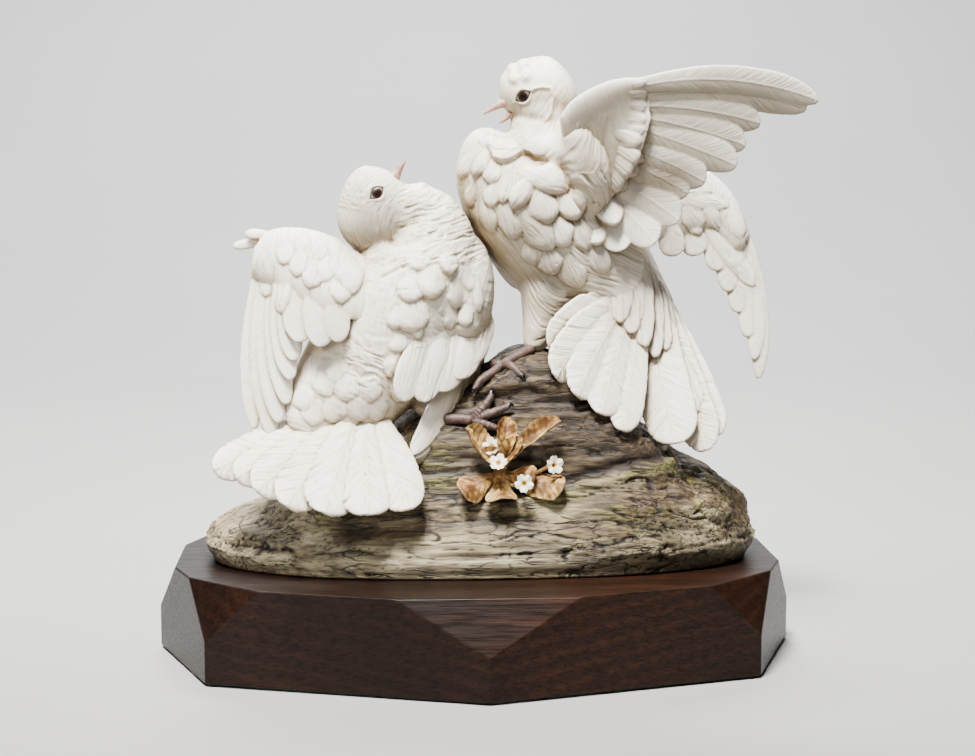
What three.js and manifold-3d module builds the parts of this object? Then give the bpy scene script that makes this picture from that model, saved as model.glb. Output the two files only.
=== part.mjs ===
// Two white bisque porcelain doves on a weathered log with a clump of primroses,
// standing on a faceted walnut plinth with a thin felt pad below.
// Millimetres, +Z up, origin at the middle of the felt's underside, the front of the group towards -Y.
import * as THREE from "three";
import { mergeVertices } from "three/addons/utils/BufferGeometryUtils.js";
import { ConvexGeometry } from "three/addons/geometries/ConvexGeometry.js";
import Module from "manifold-3d";

const wasm = await Module();
wasm.setup();

// Plinth and felt
const PLINTH_HALF_LENGTH = 160;
const PLINTH_HALF_DEPTH = 120;
const PLINTH_CORNER = { x: 131.5, y: 79 };
const PLINTH_TOP = 47;
const FELT_THICKNESS = 1.2;
const FELT_INSET = 2;
const FACET_DROP = 25.5;

// Smallest step between vertices, and the length from which a feather bends in four steps rather than three
const GRID = 0.05;
const LONG_FEATHER = 50;

// Log
const LOG_MIDDLE_X = 2;
const LOG_HALF_LENGTH = 140;
const LOG_HALF_DEPTH = 72;
const LOG_CORNER_POWER = 2.4;
const LOG_EDGE_POWERS = [4, 2.5];
const LOG_UNDERCUT = 4;

// Porcelain colours stay close to the glaze-free white of the birds.
const BISQUE = 0xece7dd;
const WALNUT = 0x3b241a;
const FELT_GREEN = 0x1d2b1f;

const vec = (p) => new THREE.Vector3(p[0], p[1], p[2]);
const mix = (a, b, t) => a + (b - a) * t;
const clamp01 = (t) => Math.min(1, Math.max(0, t));
const smooth = (lo, hi, t) => {
  const k = clamp01((t - lo) / (hi - lo));
  return k * k * (3 - 2 * k);
};

// Closed meshes

// A closed skin from rings of points, each ring a loop of the same length.
// Round rings are fanned shut at both ends. Flat rings, whose second half runs back under the first, are laced shut.
function skinOfRings(rings, flat = false) {
  const around = rings[0].length;
  const positions = rings.flat().flatMap((p) => [p.x, p.y, p.z]);
  const faces = [];
  for (let i = 0; i + 1 < rings.length; i++) {
    for (let j = 0; j < around; j++) {
      const a = i * around + j;
      const b = i * around + ((j + 1) % around);
      faces.push(a, b, a + around, b, b + around, a + around);
    }
  }
  const cap = flat ? lacedCap : fannedCap;
  const first = cap(rings[0], 0, positions);
  faces.push(...first.reverse());
  faces.push(...cap(rings.at(-1), (rings.length - 1) * around, positions));
  return new THREE.BufferGeometry()
    .setAttribute("position", new THREE.Float32BufferAttribute(positions, 3))
    .setIndex(faces);
}

function fannedCap(ring, start, positions) {
  const middle = new THREE.Vector3();
  for (const p of ring) middle.addScaledVector(p, 1 / ring.length);
  const m = positions.length / 3;
  positions.push(middle.x, middle.y, middle.z);
  return ring.flatMap((_, j) => [start + j, start + ((j + 1) % ring.length), m]);
}

function lacedCap(ring, start) {
  const last = start + ring.length - 1;
  const faces = [];
  for (let j = 0; j + 1 < ring.length / 2; j++) {
    const [a, b, c, d] = [start + j, start + j + 1, last - j, last - j - 1];
    faces.push(a, b, c, b, d, c);
  }
  return faces;
}

function volumeOf(positions, faces) {
  const [a, b, c] = [new THREE.Vector3(), new THREE.Vector3(), new THREE.Vector3()];
  let sum = 0;
  for (let i = 0; i < faces.length; i += 3) {
    a.fromArray(positions, 3 * faces[i]);
    b.fromArray(positions, 3 * faces[i + 1]);
    c.fromArray(positions, 3 * faces[i + 2]);
    sum += a.dot(b.cross(c));
  }
  return sum;
}

// A closed geometry as a solid, its faces turned outwards.
function solidOf(geometry) {
  const bare = geometry.clone();
  bare.deleteAttribute("normal");
  bare.deleteAttribute("uv");
  const merged = mergeVertices(bare, 1e-4);
  const vertProperties = merged.attributes.position.array;
  const triVerts = new Uint32Array(merged.index.array);
  if (volumeOf(vertProperties, triVerts) < 0) {
    for (let i = 0; i < triVerts.length; i += 3) {
      [triVerts[i + 1], triVerts[i + 2]] = [triVerts[i + 2], triVerts[i + 1]];
    }
  }
  return new wasm.Manifold(new wasm.Mesh({ numProp: 3, vertProperties, triVerts }));
}

// The same solid with every vertex on a fine grid, which closes the hairline slivers between feathers.
function rounded(solid) {
  const bare = geometryOf(solid).toNonIndexed();
  const place = bare.attributes.position.array;
  for (let i = 0; i < place.length; i++) place[i] = Math.round(place[i] / GRID) * GRID;
  return solidOf(bare);
}

function geometryOf(solid) {
  const mesh = solid.getMesh();
  const positions = new Float32Array(mesh.numVert * 3);
  for (let i = 0; i < mesh.numVert; i++) {
    positions.set(mesh.vertProperties.subarray(i * mesh.numProp, i * mesh.numProp + 3), i * 3);
  }
  const geometry = new THREE.BufferGeometry();
  geometry.setAttribute("position", new THREE.BufferAttribute(positions, 3));
  geometry.setIndex(new THREE.BufferAttribute(mesh.triVerts, 1));
  geometry.computeVertexNormals();
  return geometry;
}

// Joined two by two, so that no union is much larger than it has to be.
function union(geometries) {
  let solids = geometries.map(solidOf);
  while (solids.length > 1) {
    const joined = [];
    for (let i = 0; i < solids.length; i += 2) {
      joined.push(i + 1 < solids.length ? solids[i].add(solids[i + 1]) : solids[i]);
    }
    solids = joined;
  }
  return rounded(outerSkin(solids[0]));
}

// The largest shell of a solid, without the small voids that overlapping feathers shut in.
function outerSkin(solid) {
  return solid.decompose().sort((a, b) => b.volume() - a.volume())[0];
}

// Bodies

// A limb or torso is a list of stations [x, y, z, half width seen from the front, half depth].
function limb(stations) {
  return {
    centres: new THREE.CatmullRomCurve3(stations.map(vec), false, "catmullrom", 0.5),
    radii: new THREE.CatmullRomCurve3(
      stations.map((s) => new THREE.Vector3(s[3], s[4] ?? s[3], 0)),
      false,
      "catmullrom",
      0.5,
    ),
  };
}

// The section of a limb at t from 0 to 1: its middle, its side direction, its depth direction and its radii.
function sectionOf(body, t) {
  const middle = body.centres.getPoint(t);
  const along = body.centres.getTangent(t);
  const side = along.clone().cross(new THREE.Vector3(0, 1, 0)).normalize();
  const depth = side.clone().cross(along).normalize();
  const radii = body.radii.getPoint(t);
  return { middle, side, depth, a: radii.x, b: radii.y };
}

const END_SHARE = 0.12;
const roundEnd = (t) => Math.sqrt(Math.max(0, 1 - (1 - clamp01(t / END_SHARE)) ** 2));

function limbSkin(body, steps, around) {
  const rings = [];
  for (let i = 0; i <= steps; i++) {
    const t = mix(0.004, 0.996, (1 - Math.cos((Math.PI * i) / steps)) / 2);
    const s = sectionOf(body, t);
    const share = roundEnd(t) * roundEnd(1 - t);
    const ring = [];
    for (let j = 0; j < around; j++) {
      const angle = (2 * Math.PI * j) / around;
      ring.push(
        s.middle
          .clone()
          .addScaledVector(s.side, s.a * share * Math.cos(angle))
          .addScaledVector(s.depth, s.b * share * Math.sin(angle)),
      );
    }
    rings.push(ring);
  }
  return skinOfRings(rings);
}

// The point of a limb's skin at x, z on its front (facing -1) or its back (facing 1), with the outward direction there.
function skinPoint(body, x, z, facing = -1) {
  let best = null;
  for (let i = 0; i <= 60; i++) {
    const s = sectionOf(body, i / 60);
    const gap = Math.hypot(s.middle.x - x, s.middle.z - z);
    if (!best || gap < best.gap) best = { ...s, gap };
  }
  const across = ((x - best.middle.x) * best.side.x + (z - best.middle.z) * best.side.z) / best.a;
  const share = Math.max(-0.96, Math.min(0.96, across));
  const reach = Math.sqrt(1 - share * share);
  const point = new THREE.Vector3(x, best.middle.y + facing * best.b * reach, z);
  const out = best.side
    .clone()
    .multiplyScalar(share / best.a)
    .add(new THREE.Vector3(0, (facing * reach) / best.b, 0))
    .normalize();
  return { point, out };
}

// Feathers and leaves

// How wide a blade is along its length: narrow at the root, full past the middle, round at the tip.
function bladeWidth(s, rootShare, blunt) {
  const body = mix(rootShare, 1, smooth(0, 0.6, s));
  const past = clamp01((s - blunt) / (1 - blunt));
  return body * Math.sqrt(Math.max(0, 1 - past * past));
}

// A thin closed blade from root to tip. up is the side that shows, camber lifts its middle and bow bends it sideways.
function blade(root, tip, up, half, options = {}) {
  const { thick = 1.7, camber = 0, bow = 0, rootShare = 0.5, blunt = 0.7, arch = 0.12 } = options;
  const dir = tip.clone().sub(root);
  const { steps = dir.length() > LONG_FEATHER ? 4 : 3, flat = 0 } = options;
  const side = dir.clone().cross(up).normalize();
  const rise = side.clone().cross(dir).normalize();
  const rings = [];
  for (let i = 0; i <= steps; i++) {
    const s = mix(0, 0.985, Math.sin((Math.PI / 2) * (i / steps)));
    const width = half * bladeWidth(s, rootShare, blunt);
    const hump = 4 * s * (1 - s);
    const middle = root
      .clone()
      .addScaledVector(dir, s)
      .addScaledVector(rise, camber * hump)
      .addScaledVector(side, bow * hump);
    const thin = (thick / 2) * mix(1, 0.6, s);
    const at = (across, high) => middle.clone().addScaledVector(side, across).addScaledVector(rise, high);
    const top = flat ? [at(-flat * width, 0.85 * thin), at(flat * width, 0.85 * thin)] : [at(0, thin)];
    rings.push([at(-width, -arch * width), ...top, at(width, -arch * width), at(0, -thin)]);
  }
  return skinOfRings(rings);
}

// A rounded tuft of feathers lying on a body, from one x, z to another, swelling towards its tip.
function tuft(body, [x0, z0], [x1, z1], half, swell, facing = -1) {
  const from = skinPoint(body, x0, z0, facing);
  const to = skinPoint(body, x1, z1, facing);
  const root = from.point.addScaledVector(from.out, -0.5 * swell);
  const tip = to.point.addScaledVector(to.out, 0.35 * swell);
  const up = from.out.add(to.out).normalize();
  return blade(root, tip, up, half, {
    thick: 2 * swell,
    camber: 0.6 * swell,
    rootShare: 0.6,
    blunt: 0.55,
    arch: 0.2,
    steps: 3,
    flat: 0.5,
  });
}

// The arm of a wing with its coverts: a curved slab between its leading edge and the edge that the flight feathers leave.
function wingArm(leading, trailing, up, { thickLead, thickTrail, bulge, steps = 5, across = 3 }) {
  const lead = new THREE.CatmullRomCurve3(leading.map(vec));
  const trail = new THREE.CatmullRomCurve3(trailing.map(vec));
  const rings = [];
  for (let i = 0; i <= steps; i++) {
    const a = lead.getPoint(i / steps);
    const b = trail.getPoint(i / steps);
    const over = [];
    const under = [];
    for (let j = 0; j <= across; j++) {
      const t = j / across;
      const p = a.clone().lerp(b, t).addScaledVector(up, bulge * Math.sin(Math.PI * t));
      const half = mix(thickLead, thickTrail, t) * 0.5 * (j === 0 || j === across ? 0.35 : 1);
      over.push(p.clone().addScaledVector(up, half));
      under.unshift(p.addScaledVector(up, -half));
    }
    rings.push([...over, ...under]);
  }
  return skinOfRings(rings, true);
}

// Flight feathers one after the other. Each is [root, tip, half width, bow], and each lies lift further out than the last.
function flight(list, up, lift, options = {}) {
  return list.map(([root, tip, half, bow = 0], i) => {
    const shift = up.clone().multiplyScalar(lift * i);
    return blade(vec(root).add(shift), vec(tip).add(shift), up, half, { bow, ...options });
  });
}

// A toe with its claw, as a tapering limb.
function toe(points, radius) {
  const last = points.length - 1;
  const stations = points.map((p, i) => [...p, radius * mix(1, 0.3, (i / last) ** 2)]);
  return limbSkin(limb(stations), 3, 5);
}

// Left dove: its back to the viewer, its head thrown back, one wing open and one folded.
const leftBody = limb([
  [-65, -43, 114, 10, 7],
  [-60, -39, 126, 19, 14],
  [-52, -32, 146, 29, 24],
  [-42, -26, 170, 33, 30],
  [-32, -23, 190, 31, 30],
  [-28, -22, 205, 27, 26],
  [-31, -24, 217, 24, 21],
  [-38, -27, 227, 16, 15],
]);
const leftFlank = limb([
  [-62, -28, 166, 15, 14],
  [-70, -34, 144, 18, 15],
  [-80, -42, 124, 17, 9],
  [-88, -47, 113, 8, 4],
]);
const leftThigh = limb([
  [-36, -16, 158, 18, 17],
  [-29, -24, 138, 13, 13],
  [-20, -40, 121, 5, 5],
]);
const leftShoulder = limb([
  [-12, -20, 209, 8, 10],
  [-7, -20, 194, 13, 17],
  [-8, -22, 176, 15, 20],
  [-15, -26, 156, 14, 18],
]);
const leftHead = limb([
  [-57, -29, 201, 7],
  [-54, -30, 211, 15, 14.5],
  [-51, -30, 222, 17, 15.5],
  [-48, -31, 232, 15.5, 13],
  [-44, -32, 240, 8.5, 7.5],
]);
const leftBeak = limb([
  [-46, -32, 233, 4.5, 4],
  [-41.5, -32, 239, 3.2, 2.8],
  [-38, -32, 243.5, 2, 1.8],
  [-34.5, -32, 247, 0.8],
]);

function leftDove() {
  const towards = new THREE.Vector3(0, -1, 0);
  const openUp = new THREE.Vector3(-0.1, -0.97, 0.2).normalize();
  const parts = [
    limbSkin(leftBody, 11, 13),
    limbSkin(leftHead, 6, 12),
    limbSkin(leftBeak, 3, 6),
    limbSkin(leftFlank, 4, 9),
    limbSkin(leftThigh, 3, 8),
    limbSkin(leftShoulder, 4, 9),
    wingArm(
      [
        [-44, -36, 196],
        [-58, -38, 201],
        [-71, -38, 209],
        [-86, -37, 213],
        [-100, -35, 212],
        [-108, -34, 204],
      ],
      [
        [-52, -50, 168],
        [-64, -53, 171],
        [-76, -52, 176],
        [-88, -48, 181],
        [-99, -42, 186],
        [-110, -38, 190],
      ],
      openUp,
      { thickLead: 9, thickTrail: 3, bulge: 3 },
    ),
  ];
  // Primaries and secondaries of the open wing, the outermost lowest in the layers.
  parts.push(
    ...flight(
      [
        [[-106, -37, 196], [-109, -44, 117], 5, 3],
        [[-103, -38, 196], [-100, -46, 112], 6, 3],
        [[-99, -39, 194], [-93, -48, 129], 5.5, 2],
        [[-96, -41, 192], [-91, -49, 141], 5.5, 2],
        [[-93, -43, 190], [-89, -49, 150], 5.5, 1],
        [[-88, -44, 194], [-86, -51, 159], 7, 1],
        [[-79, -46, 194], [-76, -53, 157], 7.5, 0],
        [[-69, -48, 192], [-68, -53, 159], 6, 0],
      ],
      openUp,
      0.35,
    ),
    ...flight(
      [
        [[-102, -34, 207], [-119, -30, 204], 2.6],
        [[-100, -34, 210], [-113, -34, 210], 2.6],
      ],
      openUp,
      0.5,
      { steps: 3 },
    ),
  );
  // Folded wing: wraps the bird's right side, its primaries crossing below.
  const foldedUp = new THREE.Vector3(0.62, -0.78, -0.05).normalize();
  parts.push(
    wingArm(
      [
        [-12, -16, 208],
        [3, -12, 202],
        [8, -10, 187],
        [6, -12, 168],
        [-1, -20, 150],
      ],
      [
        [-30, -48, 204],
        [-37, -52, 188],
        [-38, -54, 170],
        [-38, -54, 154],
        [-38, -52, 142],
      ],
      foldedUp,
      { thickLead: 6, thickTrail: 5, bulge: 6 },
    ),
    ...flight(
      [
        [[-1, -20, 158], [-34, -50, 100], 7, -5],
        [[0, -22, 160], [-36, -52, 108], 7, -4],
        [[-6, -28, 160], [-38, -54, 118], 7, -3],
        [[-12, -37, 166], [-20, -50.5, 128], 8, -2],
        [[-21, -43, 166], [-28, -55, 129], 8, -1],
        [[-30, -48, 165], [-37, -57, 130], 7, 0],
      ],
      new THREE.Vector3(0.45, -0.88, -0.1).normalize(),
      0.4,
      { camber: 2 },
    ),
  );
  // Tail fan, its middle feathers uppermost.
  const tailUp = new THREE.Vector3(0.05, -0.82, 0.57).normalize();
  parts.push(
    ...flight(
      [
        [[-66, -38, 126], [-128, -56, 99], 10, 0],
        [[-64, -40, 126], [-109, -66, 90], 11, 0],
        [[-62, -41, 126], [-94, -73, 83], 11, 0],
        [[-60, -42, 126], [-75, -77, 80], 11, 0],
      ],
      tailUp,
      0.5,
      { rootShare: 0.4, blunt: 0.78, arch: 0.1 },
    ),
    ...flight(
      [
        [[-52, -42, 128], [-35, -76, 82], 10, 0],
        [[-56, -42, 127], [-55, -79, 80], 11, 0],
      ],
      tailUp,
      0.9,
      { rootShare: 0.4, blunt: 0.78, arch: 0.1 },
    ),
  );
  // Tufts over the shoulders, the folded wing and the rump.
  const tufts = [
    [[-40, 206], [-45, 190], 6, 1.8],
    [[-52, 196], [-57, 182], 6, 2],
    [[-54, 186], [-62, 175], 6, 2],
    [[-32, 200], [-37, 180], 8, 2.4],
    [[-20, 203], [-26, 182], 8, 2.4],
    [[-28, 188], [-34, 165], 10, 2.6],
    [[-38, 164], [-43, 146], 6, 2],
    [[-66, 152], [-72, 136], 7, 2.2],
    [[-58, 146], [-60, 126], 8, 2.4],
    [[-46, 146], [-49, 126], 8, 2.2],
  ];
  parts.push(...tufts.map(([from, to, half, swell]) => tuft(leftBody, from, to, half, swell)));
  const sideTufts = [
    [[-2, 200], [-3, 178], 6, 2],
    [[-12, 196], [-14, 170], 7, 2.2],
    [[-4, 184], [-6, 166], 6, 2],
  ];
  parts.push(...sideTufts.map(([from, to, half, swell]) => tuft(leftShoulder, from, to, half, swell)));
  parts.push(toeSet([-18, -43, 121], LEFT_BALL, leftToes));
  return parts.flat();
}

const LEFT_BALL = [-4, -47, 121];
const leftToes = [
  [LEFT_BALL, [1, -47, 129], [5, -45, 134]],
  [LEFT_BALL, [4, -48, 124], [14, -48, 128]],
  [LEFT_BALL, [1, -49, 119], [8, -50, 117]],
];
const RIGHT_BALL = [11, -33, 146];
const rightToes = [
  [RIGHT_BALL, [16, -41, 145], [21, -44, 140]],
  [RIGHT_BALL, [2, -40, 140], [-4, -43, 134]],
  [RIGHT_BALL, [4, -24, 144], [-3, -16, 141]],
];

// The shank from ankle to the ball of the foot, and its toes.
function toeSet(ankle, ball, toes) {
  return [toe([ankle, ball], 3.2), ...toes.map((t) => toe(t, 2.4))];
}

// Right dove: standing tall, its head turned down to its mate, both wings raised behind it.
const rightBody = limb([
  [84, -11, 152, 17, 8],
  [77, -8, 168, 22, 15],
  [64.5, -4, 184, 28, 23],
  [49, -3, 200, 33.5, 29],
  [34, -4, 218, 35, 31],
  [24, -5, 235, 35, 31],
  [19, -6, 249, 30, 27],
  [22, -7, 260, 20, 20],
  [26, -8, 270, 14, 14],
]);
const rightHead = limb([
  [48, -7, 281, 9, 8],
  [40, -8, 279, 17, 15],
  [30, -8, 278, 18.5, 16],
  [20, -9, 276.5, 15.5, 13],
  [12, -10, 274, 7, 6],
]);
const rightBeaks = [
  limb([
    [15, -10, 274, 4.5, 4],
    [10, -11, 272, 3, 2.6],
    [6, -12, 269.5, 1.8, 1.6],
    [2.5, -12, 267, 0.7],
  ]),
  limb([
    [21, -9, 270, 4.5, 4],
    [15, -10, 267.5, 2.8, 2.4],
    [10.5, -11, 262.5, 0.8],
  ]),
];
const rightThigh = limb([
  [38, -6, 200, 18, 16],
  [34, -12, 180, 14, 13],
  [32, -15, 168, 10, 10],
  [29, -18, 157, 6.5, 6.5],
  [27, -20, 150, 4],
]);
const farThigh = limb([
  [42, 6, 196, 16, 14],
  [40, 11, 178, 12, 12],
  [38, 13, 164, 8, 8],
  [36, 14, 150, 4],
]);

function rightDove() {
  const nearUp = new THREE.Vector3(0.12, -0.98, -0.15).normalize();
  const farUp = new THREE.Vector3(0.1, -0.98, 0.15).normalize();
  const parts = [
    limbSkin(rightBody, 11, 13),
    limbSkin(rightHead, 6, 12),
    ...rightBeaks.map((b) => limbSkin(b, 3, 6)),
    limbSkin(rightThigh, 4, 9),
    limbSkin(farThigh, 4, 7),
    wingArm(
      [
        [38, -40, 266],
        [44, -43, 274],
        [56, -46, 281],
        [67, -47, 284],
        [79, -48, 284],
      ],
      [
        [48, -24, 212],
        [60, -30, 222],
        [70, -38, 236],
        [77, -43, 250],
        [81, -46, 265],
      ],
      nearUp,
      { thickLead: 8, thickTrail: 4, bulge: -4 },
    ),
  ];
  // Flight feathers of the near wing, seen from below, so the outermost lies nearest.
  parts.push(
    ...flight(
      [
        [[56, -25, 220], [66, -34, 201], 8, 0],
        [[62, -30, 224], [87, -35, 209], 8, -1],
        [[65, -32, 230], [98, -36, 217], 9, -1],
        [[68, -34, 236], [104, -36, 228], 8, -1],
        [[70, -36, 242], [111, -37, 236], 8, -1],
        [[72, -38, 250], [126, -38, 243], 8.5, -2],
        [[72, -40, 258], [129, -38, 255], 8.5, -3],
        [[72, -42, 265], [137, -39, 266], 8, -4],
        [[72, -43, 273], [158, -39, 274], 8.5, -6],
        [[68, -44, 279], [165, -40, 276], 7, -8],
      ],
      nearUp,
      0.4,
      { blunt: 0.75 },
    ),
    ...flight(
      [
        [[66, -37, 250], [66, -42, 231], 6, 0],
        [[72, -40, 252], [74, -42, 236], 5, 0],
        [[60, -32, 232], [62, -37, 219], 6, 0],
        [[50, -26, 222], [54, -32, 208], 6, 0],
      ],
      nearUp,
      0.8,
      { steps: 3 },
    ),
  );
  // Far wing, arched over the back with its tip hanging.
  parts.push(
    wingArm(
      [
        [36, 6, 226],
        [62, 20, 231],
        [86, 31, 236],
        [108, 40, 241],
        [124, 44, 239],
        [138, 46, 226],
        [147, 46, 206],
      ],
      [
        [44, 6, 198],
        [66, 20, 202],
        [88, 30, 204],
        [105, 37, 204],
        [118, 41, 206],
        [128, 43, 204],
        [138, 44, 196],
      ],
      farUp,
      { thickLead: 8, thickTrail: 3, bulge: 3 },
    ),
    ...flight(
      [
        [[142, 45, 216], [151.5, 40, 130], 5, -8],
        [[139, 45, 214], [149, 40, 140], 5, -7],
        [[136, 45, 212], [146, 41, 152], 5.5, -5],
        [[132, 44, 212], [141, 42, 165], 6, -4],
        [[128, 43, 212], [136, 42, 176], 6, -3],
        [[122, 42, 214], [129, 42, 187], 6, -1],
        [[112, 40, 214], [118, 41, 195], 7, 0],
        [[100, 35, 214], [106, 38, 195], 7, 0],
      ],
      farUp,
      0.3,
    ),
  );
  // Tail: two fans of broad feathers, seen from below.
  const tailUp = new THREE.Vector3(-0.1, -0.95, -0.3).normalize();
  parts.push(
    ...flight(
      [
        [[68, -16, 178], [36, -33, 147], 9, 1],
        [[72, -17, 176], [47, -37, 133], 8.5, 1],
        [[75, -17, 174], [58, -39, 123], 8, 0],
        [[78, -17, 172], [72, -40, 113], 8, 0],
      ],
      tailUp,
      0.5,
      { rootShare: 0.45, blunt: 0.78 },
    ),
    ...flight(
      [
        [[88, -12, 168], [117, -39, 106], 8, 0],
        [[87, -14, 166], [104, -40, 104], 10, 0],
        [[84, -15, 168], [91, -41, 112], 11, 0],
      ],
      tailUp,
      0.5,
      { rootShare: 0.45, blunt: 0.78 },
    ),
    ...flight(
      [
        [[66, -22, 186], [78, -24, 158], 8, 0],
        [[76, -16, 180], [89, -22, 152], 8, 0],
      ],
      tailUp,
      0.5,
      { steps: 3, thick: 4 },
    ),
  );
  // Ruff and breast tufts.
  const tufts = [
    [[14, 258], [-4, 250], 7, 2.6],
    [[26, 256], [8, 248], 7, 2.6],
    [[2, 248], [-5, 232], 7, 2.4],
    [[14, 246], [8, 230], 8, 2.6],
    [[28, 244], [30, 226], 9, 3],
    [[8, 232], [4, 214], 8, 2.6],
    [[20, 232], [20, 212], 9, 3],
    [[38, 232], [42, 218], 8, 2.8],
    [[14, 214], [16, 198], 7, 2.4],
    [[28, 214], [34, 198], 8, 2.6],
    [[-2, 232], [-2, 218], 5, 2],
  ];
  parts.push(...tufts.map(([from, to, half, swell]) => tuft(rightBody, from, to, half, swell)));
  parts.push(toeSet([27, -22, 153], RIGHT_BALL, rightToes));
  return parts.flat();
}

// Log

// Height of the ridge that the doves stand on, along the log's length.
const ridge = new THREE.CatmullRomCurve3(
  [
    [-110, 0, 80],
    [-70, 0, 98],
    [-35, 0, 116],
    [0, 0, 138],
    [26, 0, 151],
    [42, 0, 146],
    [70, 0, 126],
    [96, 0, 108],
    [122, 0, 100],
  ].map(vec),
);

function ridgeHeight(x) {
  const points = ridge.points;
  if (x <= points[0].x) return points[0].z;
  for (let i = 1; i < points.length; i++) {
    if (x <= points[i].x) {
      const share = (x - points[i - 1].x) / (points[i].x - points[i - 1].x);
      return ridge.getPoint((i - 1 + share) / (points.length - 1)).z;
    }
  }
  return points.at(-1).z;
}

// Height of the log's top at x, y, before its edge rounds down.
function logHeight(x, y) {
  const slab = 80 + 24 * smooth(-40, 100, x);
  const face = smooth(-62, -40, y) * smooth(72, 25, y);
  const groove = 5 * Math.exp(-(((y + 54) / 5) ** 2)) * smooth(0, 40, x);
  return slab + Math.max(0, ridgeHeight(x) - slab) * face - groove;
}

function logSkin() {
  const around = 34;
  const rings = [];
  const shares = [0.955, 0.985, 1, 0.96, 0.88, 0.76, 0.6, 0.42, 0.22];
  shares.forEach((share, row) => {
    const ring = [];
    for (let j = 0; j < around; j++) {
      const angle = (2 * Math.PI * j) / around;
      // A superellipse plan, fuller than an ellipse at its corners.
      const c = Math.cos(angle);
      const s = Math.sin(angle);
      const reach = (Math.abs(c) ** LOG_CORNER_POWER + Math.abs(s) ** LOG_CORNER_POWER) ** (-1 / LOG_CORNER_POWER);
      const x = LOG_MIDDLE_X + LOG_HALF_LENGTH * reach * c * share;
      const y = LOG_HALF_DEPTH * reach * s * share;
      const rise = (1 - share ** LOG_EDGE_POWERS[0]) ** (1 / LOG_EDGE_POWERS[1]);
      const low = [0, LOG_UNDERCUT, 2.5 * LOG_UNDERCUT][row];
      const z = low !== undefined ? PLINTH_TOP + low : PLINTH_TOP + (logHeight(x, y) - PLINTH_TOP) * rise;
      ring.push(new THREE.Vector3(x, y, z));
    }
    rings.push(ring);
  });
  return skinOfRings(rings);
}

// Primroses
const CLUMP = [8, -57, 89];
const CROWN_RADIUS = 4;
const LEAF_TIPS = [
  [-8, -55, 116],
  [12, -53, 121],
  [37, -55, 119],
  [-13, -62, 88],
  [9, -67, 82],
  [39, -62, 88],
];
const BLOSSOMS = [
  [4, -60, 110],
  [8, -64, 102],
  [20, -67, 92],
  [34, -61, 102],
  [19, -54, 113],
];

function primroses() {
  const parts = LEAF_TIPS.map((tip) =>
    blade(vec(CLUMP), vec(tip), new THREE.Vector3(0, -0.7, 0.7), 5.5, {
      thick: 2.2,
      rootShare: 0.3,
      blunt: 0.55,
      camber: -2,
      steps: 3,
    }),
  );
  const crown = [
    [CLUMP[0], CLUMP[1] + 5, CLUMP[2] - 6, CROWN_RADIUS],
    [...CLUMP, 0.8 * CROWN_RADIUS],
  ];
  parts.push(limbSkin(limb(crown), 2, 6));
  for (const place of BLOSSOMS) parts.push(blossom(vec(place)), stalk(vec(place)));
  return parts;
}

// A five-lobed cup facing forward and up.
function blossom(place) {
  const profile = [
    [1.2, -4],
    [4.4, 0.6],
    [2, 0],
  ];
  const turn = new THREE.Quaternion().setFromUnitVectors(
    new THREE.Vector3(0, 0, 1),
    new THREE.Vector3(0, -0.8, 0.6),
  );
  const rings = profile.map(([radius, height]) => {
    const ring = [];
    for (let j = 0; j < 10; j++) {
      const angle = (2 * Math.PI * j) / 10;
      const r = radius * (radius > 3 ? 0.86 + 0.14 * Math.cos(5 * angle) : 1);
      ring.push(
        new THREE.Vector3(r * Math.cos(angle), r * Math.sin(angle), height).applyQuaternion(turn).add(place),
      );
    }
    return ring;
  });
  return skinOfRings(rings);
}

function stalk(place) {
  return limbSkin(limb([[...CLUMP, 1.4], [place.x, place.y + 3, place.z - 2.5, 1]]), 1, 4);
}

// Plinth

// The octagon's corners, from the front point round to the left.
function octagon(inset) {
  const l = PLINTH_HALF_LENGTH - inset;
  const d = PLINTH_HALF_DEPTH - inset;
  const x = PLINTH_CORNER.x - inset;
  const y = PLINTH_CORNER.y - inset;
  return [
    [0, -d],
    [-x, -y],
    [-l, 0],
    [-x, y],
    [0, d],
    [x, y],
    [l, 0],
    [x, -y],
  ];
}

// Each corner is cut by one triangular facet, from a point on its upright edge to two points on the top edges.
function plinthSkin() {
  const corners = octagon(0);
  const cutsAt = [45.5, 27, 31, 27, 45.5, 27, 31, 27];
  const points = [];
  corners.forEach(([x, y], i) => {
    points.push(new THREE.Vector3(x, y, FELT_THICKNESS), new THREE.Vector3(x, y, PLINTH_TOP - FACET_DROP));
    for (const next of [corners[(i + 1) % 8], corners[(i + 7) % 8]]) {
      const length = Math.hypot(next[0] - x, next[1] - y);
      const t = cutsAt[i] / length;
      points.push(new THREE.Vector3(mix(x, next[0], t), mix(y, next[1], t), PLINTH_TOP));
    }
  });
  return new ConvexGeometry(points);
}

function feltSkin() {
  const shape = new THREE.Shape(octagon(FELT_INSET).map(([x, y]) => new THREE.Vector2(x, y)));
  return new THREE.ExtrudeGeometry(shape, { depth: FELT_THICKNESS, bevelEnabled: false });
}

// Assembly
function named(name, geometry, color, roughness) {
  const mesh = new THREE.Mesh(geometry, new THREE.MeshStandardMaterial({ color, roughness, metalness: 0 }));
  mesh.name = name;
  return mesh;
}

const group = new THREE.Group();
const porcelain = union([logSkin(), ...leftDove(), ...rightDove(), ...primroses()]);
group.add(named("porcelain_doves", geometryOf(porcelain), BISQUE, 0.62));
group.add(named("walnut_plinth", plinthSkin(), WALNUT, 0.42));
group.add(named("felt_pad", feltSkin(), FELT_GREEN, 0.95));

export default group;
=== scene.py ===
import math

import bpy
import numpy as np
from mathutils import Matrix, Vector
from mathutils.bvhtree import BVHTree


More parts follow.
